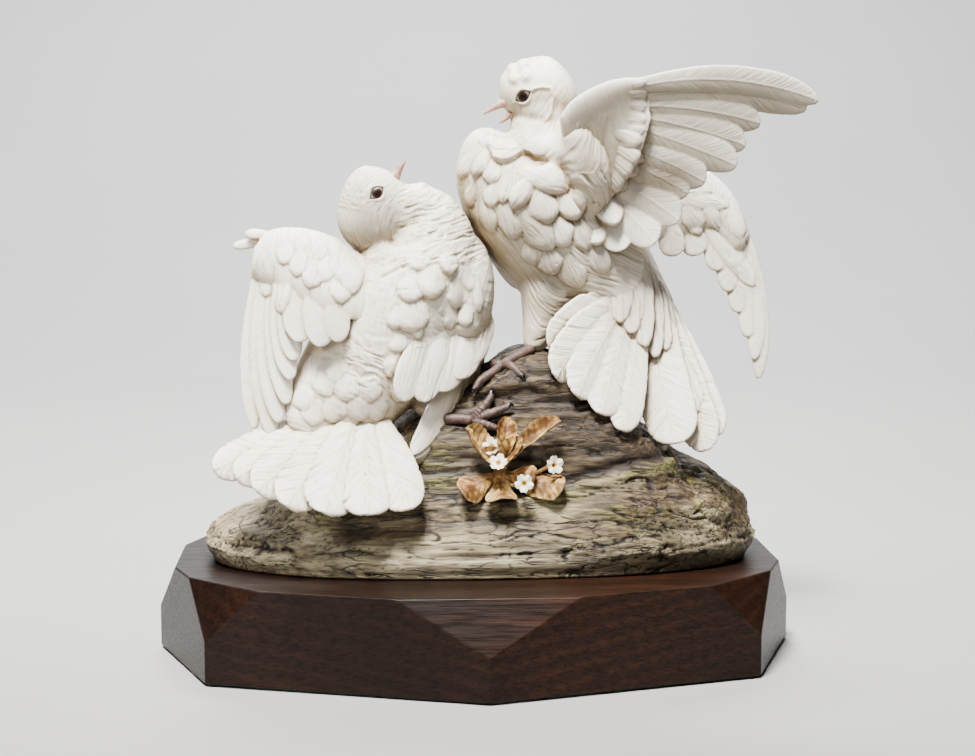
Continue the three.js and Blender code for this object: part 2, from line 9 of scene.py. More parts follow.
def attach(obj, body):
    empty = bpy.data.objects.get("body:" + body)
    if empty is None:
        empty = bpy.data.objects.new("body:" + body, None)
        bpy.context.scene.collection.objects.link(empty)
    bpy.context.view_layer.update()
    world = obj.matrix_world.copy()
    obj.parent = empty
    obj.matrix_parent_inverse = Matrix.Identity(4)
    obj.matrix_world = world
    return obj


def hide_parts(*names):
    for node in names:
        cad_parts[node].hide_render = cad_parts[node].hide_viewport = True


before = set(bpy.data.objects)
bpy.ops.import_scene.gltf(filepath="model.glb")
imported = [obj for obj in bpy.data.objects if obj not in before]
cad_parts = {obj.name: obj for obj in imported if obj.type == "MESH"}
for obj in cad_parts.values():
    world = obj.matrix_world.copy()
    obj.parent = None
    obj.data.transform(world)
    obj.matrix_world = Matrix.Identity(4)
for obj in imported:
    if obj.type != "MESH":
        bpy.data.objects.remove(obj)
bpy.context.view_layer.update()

# Two white bisque porcelain doves on a weathered log with a clump of primroses, on a faceted walnut
# plinth. Every shape is worked out in millimetres in the frame of the solids, and scaled to metres when
# it becomes a mesh. Noise takes points divided by the size of its cells, in millimetres, and a seed.

MM = 0.001

# Where the viewer's eye is, in millimetres, and how it looks. Many places on the birds are given as
# they are seen from here, on the plane y = 0.
EYE = np.array([-52.9, -1000.3, 248.4])
LOOK_YAW = math.radians(3.35)
LOOK_DOWN = math.radians(6.4)
LENS = 73.85

# Fineness of the meshes in millimetres: the first soft shape, the fine skin, and the steps along a
# feather.
COARSE = 1.3
FINE = 0.5
FEATHER_STEP = 0.75

PLINTH_TOP = 47.0


# Small helpers

def unit(v):
    v = np.asarray(v, float)
    return v / np.maximum(np.linalg.norm(v, axis=-1, keepdims=True), 1e-9)


def clamp(t):
    return np.clip(t, 0.0, 1.0)


def mix(a, b, t):
    return a + (b - a) * t


def smooth(low, high, t):
    k = clamp((np.asarray(t, float) - low) / (high - low))
    return k * k * (3 - 2 * k)


def bell(t, width):
    return np.exp(-((np.asarray(t, float) / width) ** 2))


def catmull(points, t):
    """A smooth curve through the points, t running from 0 to 1."""
    points = np.asarray(points, float)
    last = len(points) - 1
    place = np.clip(np.asarray(t, float) * last, 0, last - 1e-9)
    i = place.astype(int)
    f = (place - i)[..., None]
    padded = np.vstack([2 * points[0] - points[1], points, 2 * points[-1] - points[-2]])
    a, b, c, d = (padded[i + k] for k in range(4))
    return b + 0.5 * f * (c - a + f * (2 * a - 5 * b + 4 * c - d + f * (3 * (b - c) + d - a)))


# The noise is a hash of each cell's corners, so it is the same on every run.
CORNER_HASHES = (73856093, 19349663, 83492791)
SEED_HASH = 2654435761
STIRS = ((15, 2246822519), (13, 3266489917))
WORD = 0xFFFFFFFF
LOW_BITS = 0xFFFFFF


def noise(p, seed=0):
    """Smooth value noise from -1 to 1 at points given in cells."""
    p = np.asarray(p, float)
    cell = np.floor(p).astype(np.int64)
    f = p - cell
    f = f * f * f * (f * (6 * f - 15) + 10)
    total = np.zeros(len(p))
    for corner in np.ndindex(2, 2, 2):
        a, b, c = ((cell + corner) * CORNER_HASHES).T
        h = a ^ b ^ c ^ (seed * SEED_HASH)
        for shift, factor in STIRS:
            h = (h ^ (h >> shift)) * factor & WORD
        share = np.prod(np.where(corner, f, 1 - f), axis=1)
        total += share * (((h ^ (h >> 16)) & LOW_BITS) / (LOW_BITS >> 1) - 1)
    return total


def noise2(u, w, seed=0):
    u, w = np.broadcast_arrays(np.asarray(u, float), np.asarray(w, float))
    return noise(np.stack([u.ravel(), w.ravel(), np.full(u.size, 0.5)], 1), seed).reshape(u.shape)


def facing(x, z, y):
    """The place at depth y that is seen from the eye at (x, z) on the plane y = 0."""
    share = 1 - y / EYE[1]
    return [EYE[0] + (x - EYE[0]) * share, y, EYE[2] + (z - EYE[2]) * share]


def seen(points):
    """Where each point appears from the eye, as x and z on the plane y = 0."""
    share = EYE[1] / (EYE[1] - points[:, 1])
    place = EYE + share[:, None] * (points - EYE)
    return place[:, 0], place[:, 2]


# Closed shells: a shell is (points, triangles)

def capped(rings):
    """Rings of values as one list, with the mean of the first ring and of the last at its end."""
    return np.concatenate([rings.reshape(-1, 3), rings[0].mean(0)[None], rings[-1].mean(0)[None]])


def joined(over, under):
    """The upper and the lower rows of a sheet joined into rings."""
    return np.concatenate([over, under[:, -2:0:-1]], 1)


def loft(rings):
    """A closed shell from rings of equal length, fanned shut at both ends."""
    rings = np.asarray(rings, float)
    m, n = rings.shape[:2]
    i, j = np.meshgrid(np.arange(m - 1), np.arange(n), indexing="ij")
    a = (i * n + j).ravel()
    b = (i * n + (j + 1) % n).ravel()
    j = np.arange(n)
    k = (j + 1) % n
    first = np.stack([k, j, np.full(n, m * n)], 1)
    last = np.stack([j + (m - 1) * n, k + (m - 1) * n, np.full(n, m * n + 1)], 1)
    sides = [np.stack([a, b, b + n], 1), np.stack([a, b + n, a + n], 1)]
    return capped(rings), np.concatenate([*sides, first, last])


def merged(shells):
    points, faces, start = [], [], 0
    for shell in shells:
        points.append(shell[0])
        faces.append(shell[1] + start)
        start += len(shell[0])
    return np.concatenate(points), np.concatenate(faces)


def carried(shells, points):
    """The grain of the shells at the place nearest to each point."""
    corners, faces = merged(shells)
    grain = np.concatenate([shell[2] for shell in shells])
    tree = BVHTree.FromPolygons(corners.tolist(), faces.tolist())
    hits = [tree.find_nearest(p) for p in points.tolist()]
    place = np.array([h[0] for h in hits])
    face = faces[[h[2] for h in hits]]
    a, b, c = (corners[face[:, k]] for k in range(3))
    normal = np.cross(b - a, c - a)
    area = np.maximum((normal ** 2).sum(1), 1e-12)
    second = (np.cross(c - a, a - place) * normal).sum(1) / area
    third = (np.cross(a - place, b - a) * normal).sum(1) / area
    second, third = clamp(second), clamp(third)
    shares = np.stack([np.maximum(0, 1 - second - third), second, third], 1)
    return (shares[..., None] * grain[face]).sum(1)


def round_end(t, share=0.12):
    """0 at an end, rising in a quarter round to 1 over the given share of the length."""
    return np.sqrt(np.maximum(0, 1 - (1 - clamp(t / share)) ** 2))


LIMB_STATIONS = 72


class Limb:
    """A torso, neck, leg or toe: stations [x, y, z, half width seen from the front, half depth]."""

    def __init__(self, stations):
        self.rows = np.array([list(s) + [s[3]] * (5 - len(s)) for s in stations], float)

    def length(self):
        return np.linalg.norm(np.diff(self.rows[:, :3], axis=0), axis=1).sum()

    def section(self, t):
        t = np.asarray(t, float)
        here = catmull(self.rows, t)
        middle = self.rows[:, :3]
        along = unit(catmull(middle, np.minimum(t + 1e-3, 1)) - catmull(middle, np.maximum(t - 1e-3, 0)))
        side = unit(np.cross(along, [0.0, 1.0, 0.0]))
        depth = unit(np.cross(side, along))
        return here[..., :3], along, side, depth, here[..., 3], here[..., 4]

    def shell(self, around=40, step=1.2):
        count = max(8, int(self.length() / step))
        t = mix(0.004, 0.996, (1 - np.cos(np.pi * np.arange(count + 1) / count)) / 2)
        middle, _, side, depth, a, b = self.section(t)
        share = round_end(t) * round_end(1 - t)
        angle = 2 * np.pi * np.arange(around) / around
        out_a = (a * share)[:, None, None] * np.cos(angle)[None, :, None] * side[:, None]
        out_b = (b * share)[:, None, None] * np.sin(angle)[None, :, None] * depth[:, None]
        return loft(middle[:, None] + out_a + out_b)

    def place(self, points):
        """How far along the limb and how far round it each point is, in millimetres."""
        t = np.linspace(0, 1, LIMB_STATIONS)
        middle, along = self.section(t)[:2]
        gap = (points ** 2).sum(1)[:, None] - 2 * points @ middle.T + (middle ** 2).sum(1)
        i = gap.argmin(1)
        arc = np.concatenate([[0], np.cumsum(np.linalg.norm(np.diff(middle, axis=0), axis=1))])
        ahead = ((points - middle[i]) * along[i]).sum(1)
        share = clamp(t[i] + ahead / np.gradient(arc, t)[i])
        middle, along, side, depth, a, b = self.section(share)
        off = points - middle
        far = np.interp(share, t, arc) + (off * along).sum(1)
        angle = np.arctan2((off * depth).sum(1), (off * side).sum(1))
        return far, angle * (a + b) / 2


# Feathers

def blade_width(s, root_share, blunt):
    past = clamp((s - blunt) / (1 - blunt))
    return mix(root_share, 1, smooth(0, 0.6, s)) * np.sqrt(np.maximum(0, 1 - past * past))


NO_SHAFT = 9.0


def feather(root, tip, up, half, bow=0.0, camber=0.0, thick=1.7, root_share=0.5, blunt=0.7, arch=0.12,
            tilt=0.0, slant=1.3, hair=False, seed=0):
    """A feather from root to tip, as a shell with its grain. up is the side that shows.

    half is its half width. It bows sideways, is cambered upwards, arches across and tilts its edges.
    root_share is its width at the root, and past blunt of its length its end is rounded.
    The grain of each point is how far it is across the barbs, along them, and from the shaft. hair has
    strands that run along it in place of a shaft with slanting barbs.
    """
    root, tip, up = (np.asarray(v, float) for v in (root, tip, up))
    span = tip - root
    length = np.linalg.norm(span)
    side = unit(np.cross(span, up))
    rise = unit(np.cross(side, span))
    along = max(10, int(length / FEATHER_STEP))
    s = (1 - (1 - np.linspace(0, 1, along + 1)) ** 1.35) * 0.995
    across = max(7, int(2 * half / FEATHER_STEP)) | 1
    c = np.sin(np.linspace(-np.pi / 2, np.pi / 2, across))
    wavy = 1 + 0.04 * noise2(s * length / 7, 0.3, seed + 5)
    width = half * blade_width(s, root_share, blunt) * wavy
    off = width[:, None] * c
    hump = 4 * s * (1 - s)
    middle = root + s[:, None] * span + (camber * hump)[:, None] * rise + (bow * hump)[:, None] * side
    body = (thick / 2) * mix(1, 0.8, s)[:, None] * (0.6 + 0.4 * np.sqrt(np.maximum(0, 1 - c ** 2)))
    sag = -arch * width[:, None] * c ** 2 + tilt * c * smooth(0, 0.3, s)[:, None]
    lift = joined(sag + body, sag - body)
    cross = joined(off, off)
    points, faces = loft(middle[:, None] + cross[..., None] * side + lift[..., None] * rise)
    reach = np.abs(cross)
    far = s[:, None] * length + 0 * cross
    if hair:
        grain = [cross * (1 + 0.5 * s[:, None]) + 40 * seed, far, np.full(cross.shape, NO_SHAFT)]
    else:
        grain = [far - slant * reach ** 0.85 * half ** 0.15 + 40 * seed, reach + 30 * (cross > 0), cross]
    return points, faces, capped(np.stack(grain, -1))


def flight(rows, up, lift, **options):
    """Feathers each lying lift further out than the last, from rows of [root, tip, half width, bow]."""
    shells = []
    for i, (root, tip, half, *bow) in enumerate(rows):
        shift = unit(up) * lift * i
        root, tip = np.add(root, shift), np.add(tip, shift)
        shells.append(feather(root, tip, up, half, *bow, seed=11 * i, **options))
    return shells


def seen_feathers(rows):
    """Feathers as they are seen: [x, z and depth of the root, the same of the tip, half width, bow]."""
    return [[facing(*row[:3]), facing(*row[3:6]), *row[6:]] for row in rows]


class Arm:
    """The arm of a wing: a curved slab from its leading edge to the edge that the flight feathers leave."""

    def __init__(self, lead, trail, up, thick_lead, thick_trail, bulge):
        self.lead, self.trail, self.up = np.array(lead, float), np.array(trail, float), unit(up)
        self.thick, self.bulge = (thick_lead, thick_trail), bulge

    def shell(self):
        u = np.linspace(0, 1, 70)
        c = (1 - np.cos(np.linspace(0, np.pi, 30))) / 2
        u, c = np.meshgrid(u, c, indexing="ij")
        half = mix(*self.thick, c) * 0.5 * round_end(c, 0.22) * round_end(1 - c, 0.22)
        half = half * (0.3 + 0.7 * round_end(u, 0.1) * round_end(1 - u, 0.1))
        p = mix(catmull(self.lead, u), catmull(self.trail, u), c[..., None])
        p = p + (self.bulge * np.sin(np.pi * c))[..., None] * self.up
        out = half[..., None] * self.up
        points, faces = loft(joined(p + out, p - out))
        reach = np.linalg.norm(self.lead[-1] - self.lead[0])
        depth = np.linalg.norm(self.lead - self.trail, axis=1).mean()
        grain = np.stack([u * reach, c * depth, np.full(u.shape, NO_SHAFT)], -1)
        return points, faces, capped(joined(grain, grain))


# Meshes

def mesh_of(name, points, faces):
    mesh = bpy.data.meshes.new(name)
    points = np.asarray(points, float) * MM
    faces = np.asarray(faces, np.int32)
    mesh.vertices.add(len(points))
    mesh.vertices.foreach_set("co", points.astype(np.float32).ravel())
    mesh.loops.add(faces.size)
    mesh.loops.foreach_set("vertex_index", faces.ravel())
    mesh.polygons.add(len(faces))
    mesh.polygons.foreach_set("loop_start", np.arange(0, faces.size, faces.shape[1], dtype=np.int32))
    mesh.update(calc_edges=True)
    return mesh


def read(items, key, width, kind):
    """One value of each of a mesh's items, as an array."""
    flat = np.empty(len(items) * width, kind)
    items.foreach_get(key, flat)
    return flat.reshape(-1, width)


def linked(name, data):
    """A new object in the scene."""
    holder = bpy.data.objects.new(name, data)
    bpy.context.scene.collection.objects.link(holder)
    return holder


def modified(mesh, kind, **settings):
    """The mesh after one modifier."""
    holder = linked("workpiece", mesh)
    modifier = holder.modifiers.new("step", kind)
    for key, value in settings.items():
        setattr(modifier, key, value)
    graph = bpy.context.evaluated_depsgraph_get()
    result = bpy.data.meshes.new_from_object(
        holder.evaluated_get(graph), preserve_all_data_layers=True, depsgraph=graph)
    bpy.data.objects.remove(holder)
    bpy.data.meshes.remove(mesh)
    return result


class Skin:
    """A closed mesh as arrays: points in millimetres, four-sided faces and edges."""

    def __init__(self, shells, voxel):
        mesh = modified(mesh_of("cast", *merged(shells)), "REMESH", mode="VOXEL", voxel_size=voxel * MM)
        self.points = read(mesh.vertices, "co", 3, np.float32).astype(float) / MM
        self.edges = read(mesh.edges, "vertices", 2, np.int32)
        self.faces = read(mesh.loops, "vertex_index", 1, np.int32).reshape(-1, 4)
        bpy.data.meshes.remove(mesh)
        self.degree = np.bincount(self.edges.ravel(), minlength=len(self.points))

    def averaged(self, values):
        """Each point's mean of its neighbours' values."""
        a, b = self.edges.T
        n = len(values)
        columns = [np.bincount(a, v[b], n) + np.bincount(b, v[a], n) for v in values.T]
        return np.stack(columns, 1) / self.degree[:, None]

    def relaxed(self, rounds, share=0.5, back=0.0):
        points = self.points
        for _ in range(rounds):
            points = points + share * (self.averaged(points) - points)
            if back:
                points = points - back * (self.averaged(points) - points)
        return points

    def relax(self, rounds, share=0.5, back=0.0):
        self.points = self.relaxed(rounds, share, back)
        return self

    def raised(self, normals, height):
        self.points = self.points + normals * height[:, None]
        return self

    def normals(self):
        q = self.points[self.faces]
        face = np.cross(q[:, 2] - q[:, 0], q[:, 3] - q[:, 1])
        corners = self.faces.ravel()
        return unit(np.stack([np.bincount(corners, np.repeat(v, 4), len(self.points)) for v in face.T], 1))

    def shell(self):
        f = self.faces
        return self.points, np.concatenate([f[:, [0, 1, 2]], f[:, [0, 2, 3]]])

    def tree(self):
        return BVHTree.FromPolygons(self.points.tolist(), self.faces.tolist())

    def hollows(self):
        """0 on open skin to 1 in the crevices, from how far each point lies below its surroundings."""
        normals = self.normals()
        near = ((self.relaxed(4) - self.points) * normals).sum(1)
        wide = ((self.relaxed(28) - self.points) * normals).sum(1)
        return clamp(near / 0.15) * 0.35 + clamp(wide / 0.8) * 0.85


def sighted(tree, x, z):
    """Where the line from the eye through (x, 0, z) meets the skin, and the outward direction there."""
    aim = np.array([x, 0.0, z]) - EYE
    place, normal, _, _ = tree.ray_cast(Vector(EYE), Vector(unit(aim)))
    if place is None:
        place, normal, _, _ = tree.find_nearest(Vector((x, -40.0, z)))
    normal = np.array(normal)
    return np.array(place), normal if normal @ aim < 0 else -normal


def seen_tufts(tree, rows):
    """Tufts given as they are seen: [x, z of the root, x, z of the tip, half width, swell]."""
    tufts = []
    for x0, z0, x1, z1, half, swell in rows:
        root, up0 = sighted(tree, x0, z0)
        tip, up1 = sighted(tree, x1, z1)
        tufts.append((root, tip, unit(up0 + 1.5 * up1), half, swell))
    return tufts


def scale_tufts(limb, rows):
    """Rings of overlapping tufts round a limb: [share along, tuft length, how many, swell]."""
    tufts = []
    for k, (t, length, count, swell) in enumerate(rows):
        for j in range(count):
            angle = 2 * np.pi * (j + 0.5 * (k % 2)) / count + 0.12 * math.sin(5.3 * j + 2.1 * k)
            ends = []
            for share in (t, t - length / limb.length() * (1 + 0.2 * math.sin(3.7 * j + k))):
                middle, _, side, depth, a, b = limb.section(np.clip(share, 0.02, 0.98))
                ends.append(middle + a * math.cos(angle) * side + b * math.sin(angle) * depth)
            up = unit(math.cos(angle) * side * b + math.sin(angle) * depth * a)
            half = 0.62 * 2 * np.pi * (a + b) / 2 / count
            tufts.append((*ends, up, half, swell))
    return tufts


def tuft_relief(points, normals, tufts, grain, reach=7.0, pointed=0.5):
    """Height of the overlapping tufts at each point. The grain is changed to that of the tuft on top."""
    height = np.zeros(len(points))
    warp = 0.7 * np.stack([noise(points / 5.5, seed) for seed in (1, 2, 3)], 1)
    warp += 0.25 * np.stack([noise(points / 2.2, seed) for seed in (4, 5, 6)], 1)
    for number, (root, tip, up, half, swell) in enumerate(tufts):
        span = tip - root
        length = np.linalg.norm(span)
        along = span / length
        side = unit(np.cross(along, up))
        off = points + warp - root
        s = off @ along / length
        ahead = (s > 0) & (s < 1) & (normals @ up > 0.1)
        ahead &= np.abs(off @ unit(np.cross(side, along))) < reach
        index = np.flatnonzero(ahead)
        if not len(index):
            continue
        s = s[index]
        width = np.maximum(half * blade_width(s, 0.6, 0.5) ** (2 * pointed), 1e-3)
        c = (off[index] @ side) / width
        dome = np.maximum(0, 1 - c * c) ** mix(1.1, 0.45, smooth(0.1, 0.7, s))
        lift = swell * smooth(-0.15, 0.8, s) * (1 - 0.3 * smooth(0.8, 1.0, s)) * dome
        better = lift > np.maximum(height[index], 0.06)
        height[index] = np.maximum(height[index], lift)
        grain[index[better], 0] = (c * half + 23 * number)[better]
        grain[index[better], 1] = (s * length)[better]
    return height


def groove(points, path, width, depth):
    """A furrow (or with a negative depth a ridge) along a path of points."""
    path = np.asarray(path, float)
    best = np.full(len(points), 1e9)
    for a, b in zip(path[:-1], path[1:]):
        span = b - a
        s = clamp((points - a) @ span / (span @ span))
        best = np.minimum(best, np.linalg.norm(points - a - s[:, None] * span, axis=1))
    return -depth * bell(best, width)


def seen_groove(points, tree, path, width, depth):
    """A furrow along a path given as it is seen."""
    return groove(points, [sighted(tree, x, z)[0] for x, z in path], width, depth)


def strands(across, along, seed, pitch=1.5, run=13.0):
    """Fine strands of plumage, from -1 to 1, running along."""
    bend = 0.6 * noise2(across / 9, along / 11, seed)
    first = 1 - 2 * np.abs(noise2(across / pitch + bend, along / run, seed + 1))
    second = 1 - 2 * np.abs(noise2(across / (0.6 * pitch) + bend, along / (0.6 * run), seed + 2))
    return 0.65 * first + 0.35 * second


def ripples(across, along, seed, pitch=2.5, run=9.0):
    """Wavy ripples of the neck and back, ridges running across."""
    bend = 0.9 * noise2(across / 8, along / 6, seed) + 0.35 * noise2(across / 3, along / 4, seed + 1)
    return 1 - 2 * np.abs(noise2(along / pitch + bend, across / run, seed + 2)) ** 0.8


# Pieces

def dressed(name, mesh, material):
    """A mesh as a finished piece of the porcelain group."""
    mesh.polygons.foreach_set("use_smooth", np.ones(len(mesh.polygons), bool))
    mesh.materials.clear()
    mesh.materials.append(material)
    piece = linked(name, mesh)
    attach(piece, "root")
    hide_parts("porcelain_doves")
    return piece


def add_values(mesh, name, values):
    layer = mesh.attributes.new(name, "FLOAT", "POINT")
    layer.data.foreach_set("value", np.asarray(values, np.float32))


# The most triangles that a piece is given.
BUDGETS = {
    "left_dove_body": 135000,
    "left_dove_open_wing": 75000,
    "left_dove_folded_wing": 70000,
    "left_dove_tail": 55000,
    "left_dove_beak": 6000,
    "left_dove_foot": 10000,
    "right_dove_body": 145000,
    "right_dove_near_wing": 95000,
    "right_dove_far_wing": 45000,
    "right_dove_tail": 60000,
    "right_dove_beak": 6000,
    "right_dove_foot": 10000,
    "log": 145000,
}


def skin_piece(name, skin, material, **values):
    """A skin as a piece within its budget, with its crevices and other values on its vertices."""
    mesh = mesh_of(name, skin.points, skin.faces)
    add_values(mesh, "hollow", skin.hollows())
    # The under values hold the painted shade on skin that faces down: 0 facing up, 1 facing down.
    add_values(mesh, "under", smooth(0.25, -0.7, skin.normals()[:, 2]))
    for key, value in values.items():
        add_values(mesh, key, value)
    share = BUDGETS[name] / (2 * len(skin.faces))
    if share < 1:
        mesh = modified(mesh, "DECIMATE", ratio=share)
    return dressed(name, mesh, material)


# Materials


SKY_SAMPLES = 6


class Nodes:
    """Short forms for building a material."""

    def __init__(self, name):
        self.material = bpy.data.materials.new(name)
        self.material.use_nodes = True
        self.tree = self.material.node_tree
        self.tree.nodes.clear()
        self.shader = self.tree.nodes.new("ShaderNodeBsdfPrincipled")
        output = self.tree.nodes.new("ShaderNodeOutputMaterial")
        self.tree.links.new(self.shader.outputs[0], output.inputs[0])

    def feed(self, socket, value):
        """Links a socket to another node's output, or sets it to a plain value."""
        if isinstance(value, bpy.types.NodeSocket):
            self.tree.links.new(value, socket)
        elif socket.type == "RGBA":
            socket.default_value = (*value, 1)
        else:
            socket.default_value = value

    def node(self, kind, output, inputs, **settings):
        """The output of a new node with these inputs and settings."""
        node = self.tree.nodes.new("ShaderNode" + kind)
        for key, value in settings.items():
            setattr(node, key, value)
        for key, value in inputs.items():
            self.feed(node.inputs[key], value)
        return node.outputs[output]

    def set(self, **sockets):
        """The finished material, with the sockets of its shader fed."""
        for key, value in sockets.items():
            self.feed(self.shader.inputs[key.replace("_", " ")], value)
        return self.material

    def value(self, name):
        return self.node("Attribute", "Fac", {}, attribute_name=name)

    def place(self, scale=(1, 1, 1)):
        inputs = {"Vector": self.node("TexCoord", "Object", {}), "Scale": scale}
        return self.node("Mapping", "Vector", inputs)

    def noise(self, scale, detail=3.0, rough=0.5, place=None, warp=0.0, output="Fac"):
        inputs = {"Vector": place or self.place(), "Scale": scale, "Detail": detail}
        return self.node("TexNoise", output, {**inputs, "Roughness": rough, "Distortion": warp})

    def math(self, operation, a, b=0.5, clamped=False):
        return self.node("Math", 0, {0: a, 1: b}, operation=operation, use_clamp=clamped)

    def times(self, a, b, clamped=False):
        return self.math("MULTIPLY", a, b, clamped)

    def ramp(self, source, stops):
        colour = self.node("ValToRGB", "Color", {"Fac": source})
        colours = colour.node.color_ramp
        colours.interpolation = "EASE"
        while len(colours.elements) < len(stops):
            colours.elements.new(0.5)
        for element, (position, stop) in zip(colours.elements, stops):
            element.position = position
            element.color = (*stop, 1)
        return colour

    def range(self, source, low, high, to_low=0.0, to_high=1.0):
        inputs = {"Value": source, "From Min": low, "From Max": high, "To Min": to_low, "To Max": to_high}
        return self.node("MapRange", "Result", inputs, interpolation_type="SMOOTHSTEP")

    def blend(self, share, a, b, how="MIX"):
        return self.node("Mix", 2, {0: share, 6: a, 7: b}, data_type="RGBA", blend_type=how)

    def tint(self, colour, by, share=1.0):
        return self.blend(share, colour, by, "MULTIPLY")

    def cell_edge(self, scale, stretch):
        """How far it is to the nearest edge of uneven cells, in cells."""
        inputs = {0: self.noise(45, 4, output="Color"), 1: (0.012, 0.012, 0.012), 2: self.place(stretch)}
        moved = self.node("VectorMath", "Vector", inputs, operation="MULTIPLY_ADD")
        inputs = {"Vector": moved, "Scale": scale}
        return self.node("TexVoronoi", "Distance", inputs, feature="DISTANCE_TO_EDGE")

    def open_sky(self, distance):
        """How open the surface is, up to a distance: 0 deep in a hollow, 1 in the open."""
        return self.node("AmbientOcclusion", "AO", {"Distance": distance}, samples=SKY_SAMPLES)

    def bump(self, height, distance, strength=1.0, base=None):
        inputs = {"Height": height, "Distance": distance, "Strength": strength}
        if base is not None:
            inputs["Normal"] = base
        return self.node("Bump", "Normal", inputs)


def srgb(r, g, b):
    return tuple(((c / 255 + 0.055) / 1.055) ** 2.4 for c in (r, g, b))


def bisque():
    """Unglazed white porcelain: warm white, finely lined along the plumage, with dirt and painted shade in
    the crevices, and painted shade in the folds, on the undersides, in set patches and in the fine grooves.
    """
    n = Nodes("bisque porcelain")
    drift = n.noise(38, 3, 0.55)
    colour = n.ramp(drift, [(0.4, (0.80, 0.755, 0.66)), (0.6, (0.87, 0.835, 0.76))])
    # Dirt and painted shade: beige to dark brown in the crevices, where the skin lies below its surroundings.
    dirt_and_shade = n.times(n.value("hollow"), n.range(drift, 0.2, 0.75, 0.8, 1.15))
    colour = n.tint(colour, n.ramp(dirt_and_shade, [
        (0.0, (1, 1, 1)), (0.3, (0.88, 0.84, 0.77)), (0.6, (0.66, 0.59, 0.48)), (1.0, (0.32, 0.25, 0.18))]))
    # Painted shade: darker and warmer where the skin faces down.
    colour = n.tint(colour, (0.64, 0.57, 0.45), n.value("under"))
    # Painted shade: darker and warmer in the set patches held in the wash values.
    colour = n.tint(colour, (0.28, 0.242, 0.188), n.value("wash"))
    # Painted shade: darker in small creases and in the wider folds between parts, by how open the surface is.
    crease_shade = [(0.25, (0.42, 0.35, 0.27)), (0.6, (0.80, 0.75, 0.66)), (0.9, (1, 1, 1))]
    colour = n.tint(colour, n.ramp(n.open_sky(0.0035), crease_shade))
    fold_shade = [(0.1, (0.34, 0.29, 0.22)), (0.45, (0.70, 0.64, 0.54)), (0.85, (1, 1, 1))]
    colour = n.tint(colour, n.ramp(n.open_sky(0.045), fold_shade))
    across, along = n.times(n.value("across"), 1.25), n.times(n.value("along"), 0.09)
    lines = n.noise(1.0, 3, 0.6, n.node("CombineXYZ", 0, {0: across, 1: along}))
    # Painted shade along the fine grooves: darker where the strand lines dent the surface.
    colour = n.blend(n.range(lines, 0.47, 0.36, 0.0, 0.33), colour, (0.55, 0.48, 0.39))
    return n.set(
        Base_Color=colour,
        Roughness=n.range(n.noise(120, 3), 0.3, 0.7, 0.48, 0.6),
        Subsurface_Weight=0.02,
        Subsurface_Radius=(0.0018, 0.0013, 0.0010),
        Subsurface_Scale=1.0,
        Specular_IOR_Level=0.35,
        Normal=n.bump(lines, 0.0007, 0.7, n.bump(n.noise(900, 2, 0.6), 0.00004, 0.35)),
    )


BISQUE = bisque()


# How high a dove's eye opens, and how its limbs are melted together: rounds of smoothing, the share of
# each, and the push back against shrinking.
EYE_HEIGHT = 5.6
MELT = (18, 0.5, 0.42)


def plumage(limbs, body, rows, rings, turned, pointed=0.5):
    """A dove's body before its fine relief, with the height and the grain of its tufts.

    Rings of tufts round the body are kept only where they face the back by more than turned.
    """
    skin = Skin([limb.shell() for limb in limbs], COARSE).relax(*MELT)
    skin = Skin([skin.shell()], FINE).relax(5)
    tree = skin.tree()
    normals = skin.normals()
    tufts = seen_tufts(tree, rows) + [t for t in scale_tufts(body, rings) if t[2][1] > turned]
    along, around = body.place(skin.points)
    grain = np.stack([around, along], 1)
    height = tuft_relief(skin.points, normals, tufts, grain, pointed=pointed)
    return skin, tree, normals, along, around, grain, height


# Left dove: its back to the viewer, its head thrown back, one wing open and one folded

LEFT_BODY = Limb([
    [-65, -43, 114, 10, 7], [-60, -39, 126, 19, 14], [-52, -32, 146, 29, 24], [-42, -26, 170, 33, 30],
    [-32, -23, 190, 31, 30], [-28, -22, 205, 27, 26], [-30, -24, 216, 21, 21], [-36, -27, 226, 14, 14],
])
LEFT_THROAT = Limb([
    [-53, -31, 222, 12], [-42, -30, 220.5, 12.5], [-31, -29, 221, 12.6], [-22, -27, 219, 11.5],
    [-14, -25, 211, 10],
])
LEFT_FLANK = Limb([
    [-62, -28, 166, 15, 14], [-70, -34, 144, 18, 15], [-80, -42, 124, 17, 9], [-88, -47, 113, 8, 4],
])
LEFT_THIGH = Limb([[-36, -16, 158, 18, 17], [-29, -24, 138, 13, 13], [-20, -40, 121, 5, 5]])
LEFT_SHOULDER = Limb([
    [-12, -20, 209, 8, 10], [-7, -20, 194, 13, 17], [-8, -22, 176, 15, 20], [-15, -26, 156, 14, 18],
])
LEFT_HEAD = Limb([
    [-57, -29, 201, 7], [-54, -30, 211, 15, 14.5], [-51, -30, 222, 17, 15.5], [-48, -31, 232, 15.5, 13],
    [-44, -32, 240, 8.5, 7.5],
])

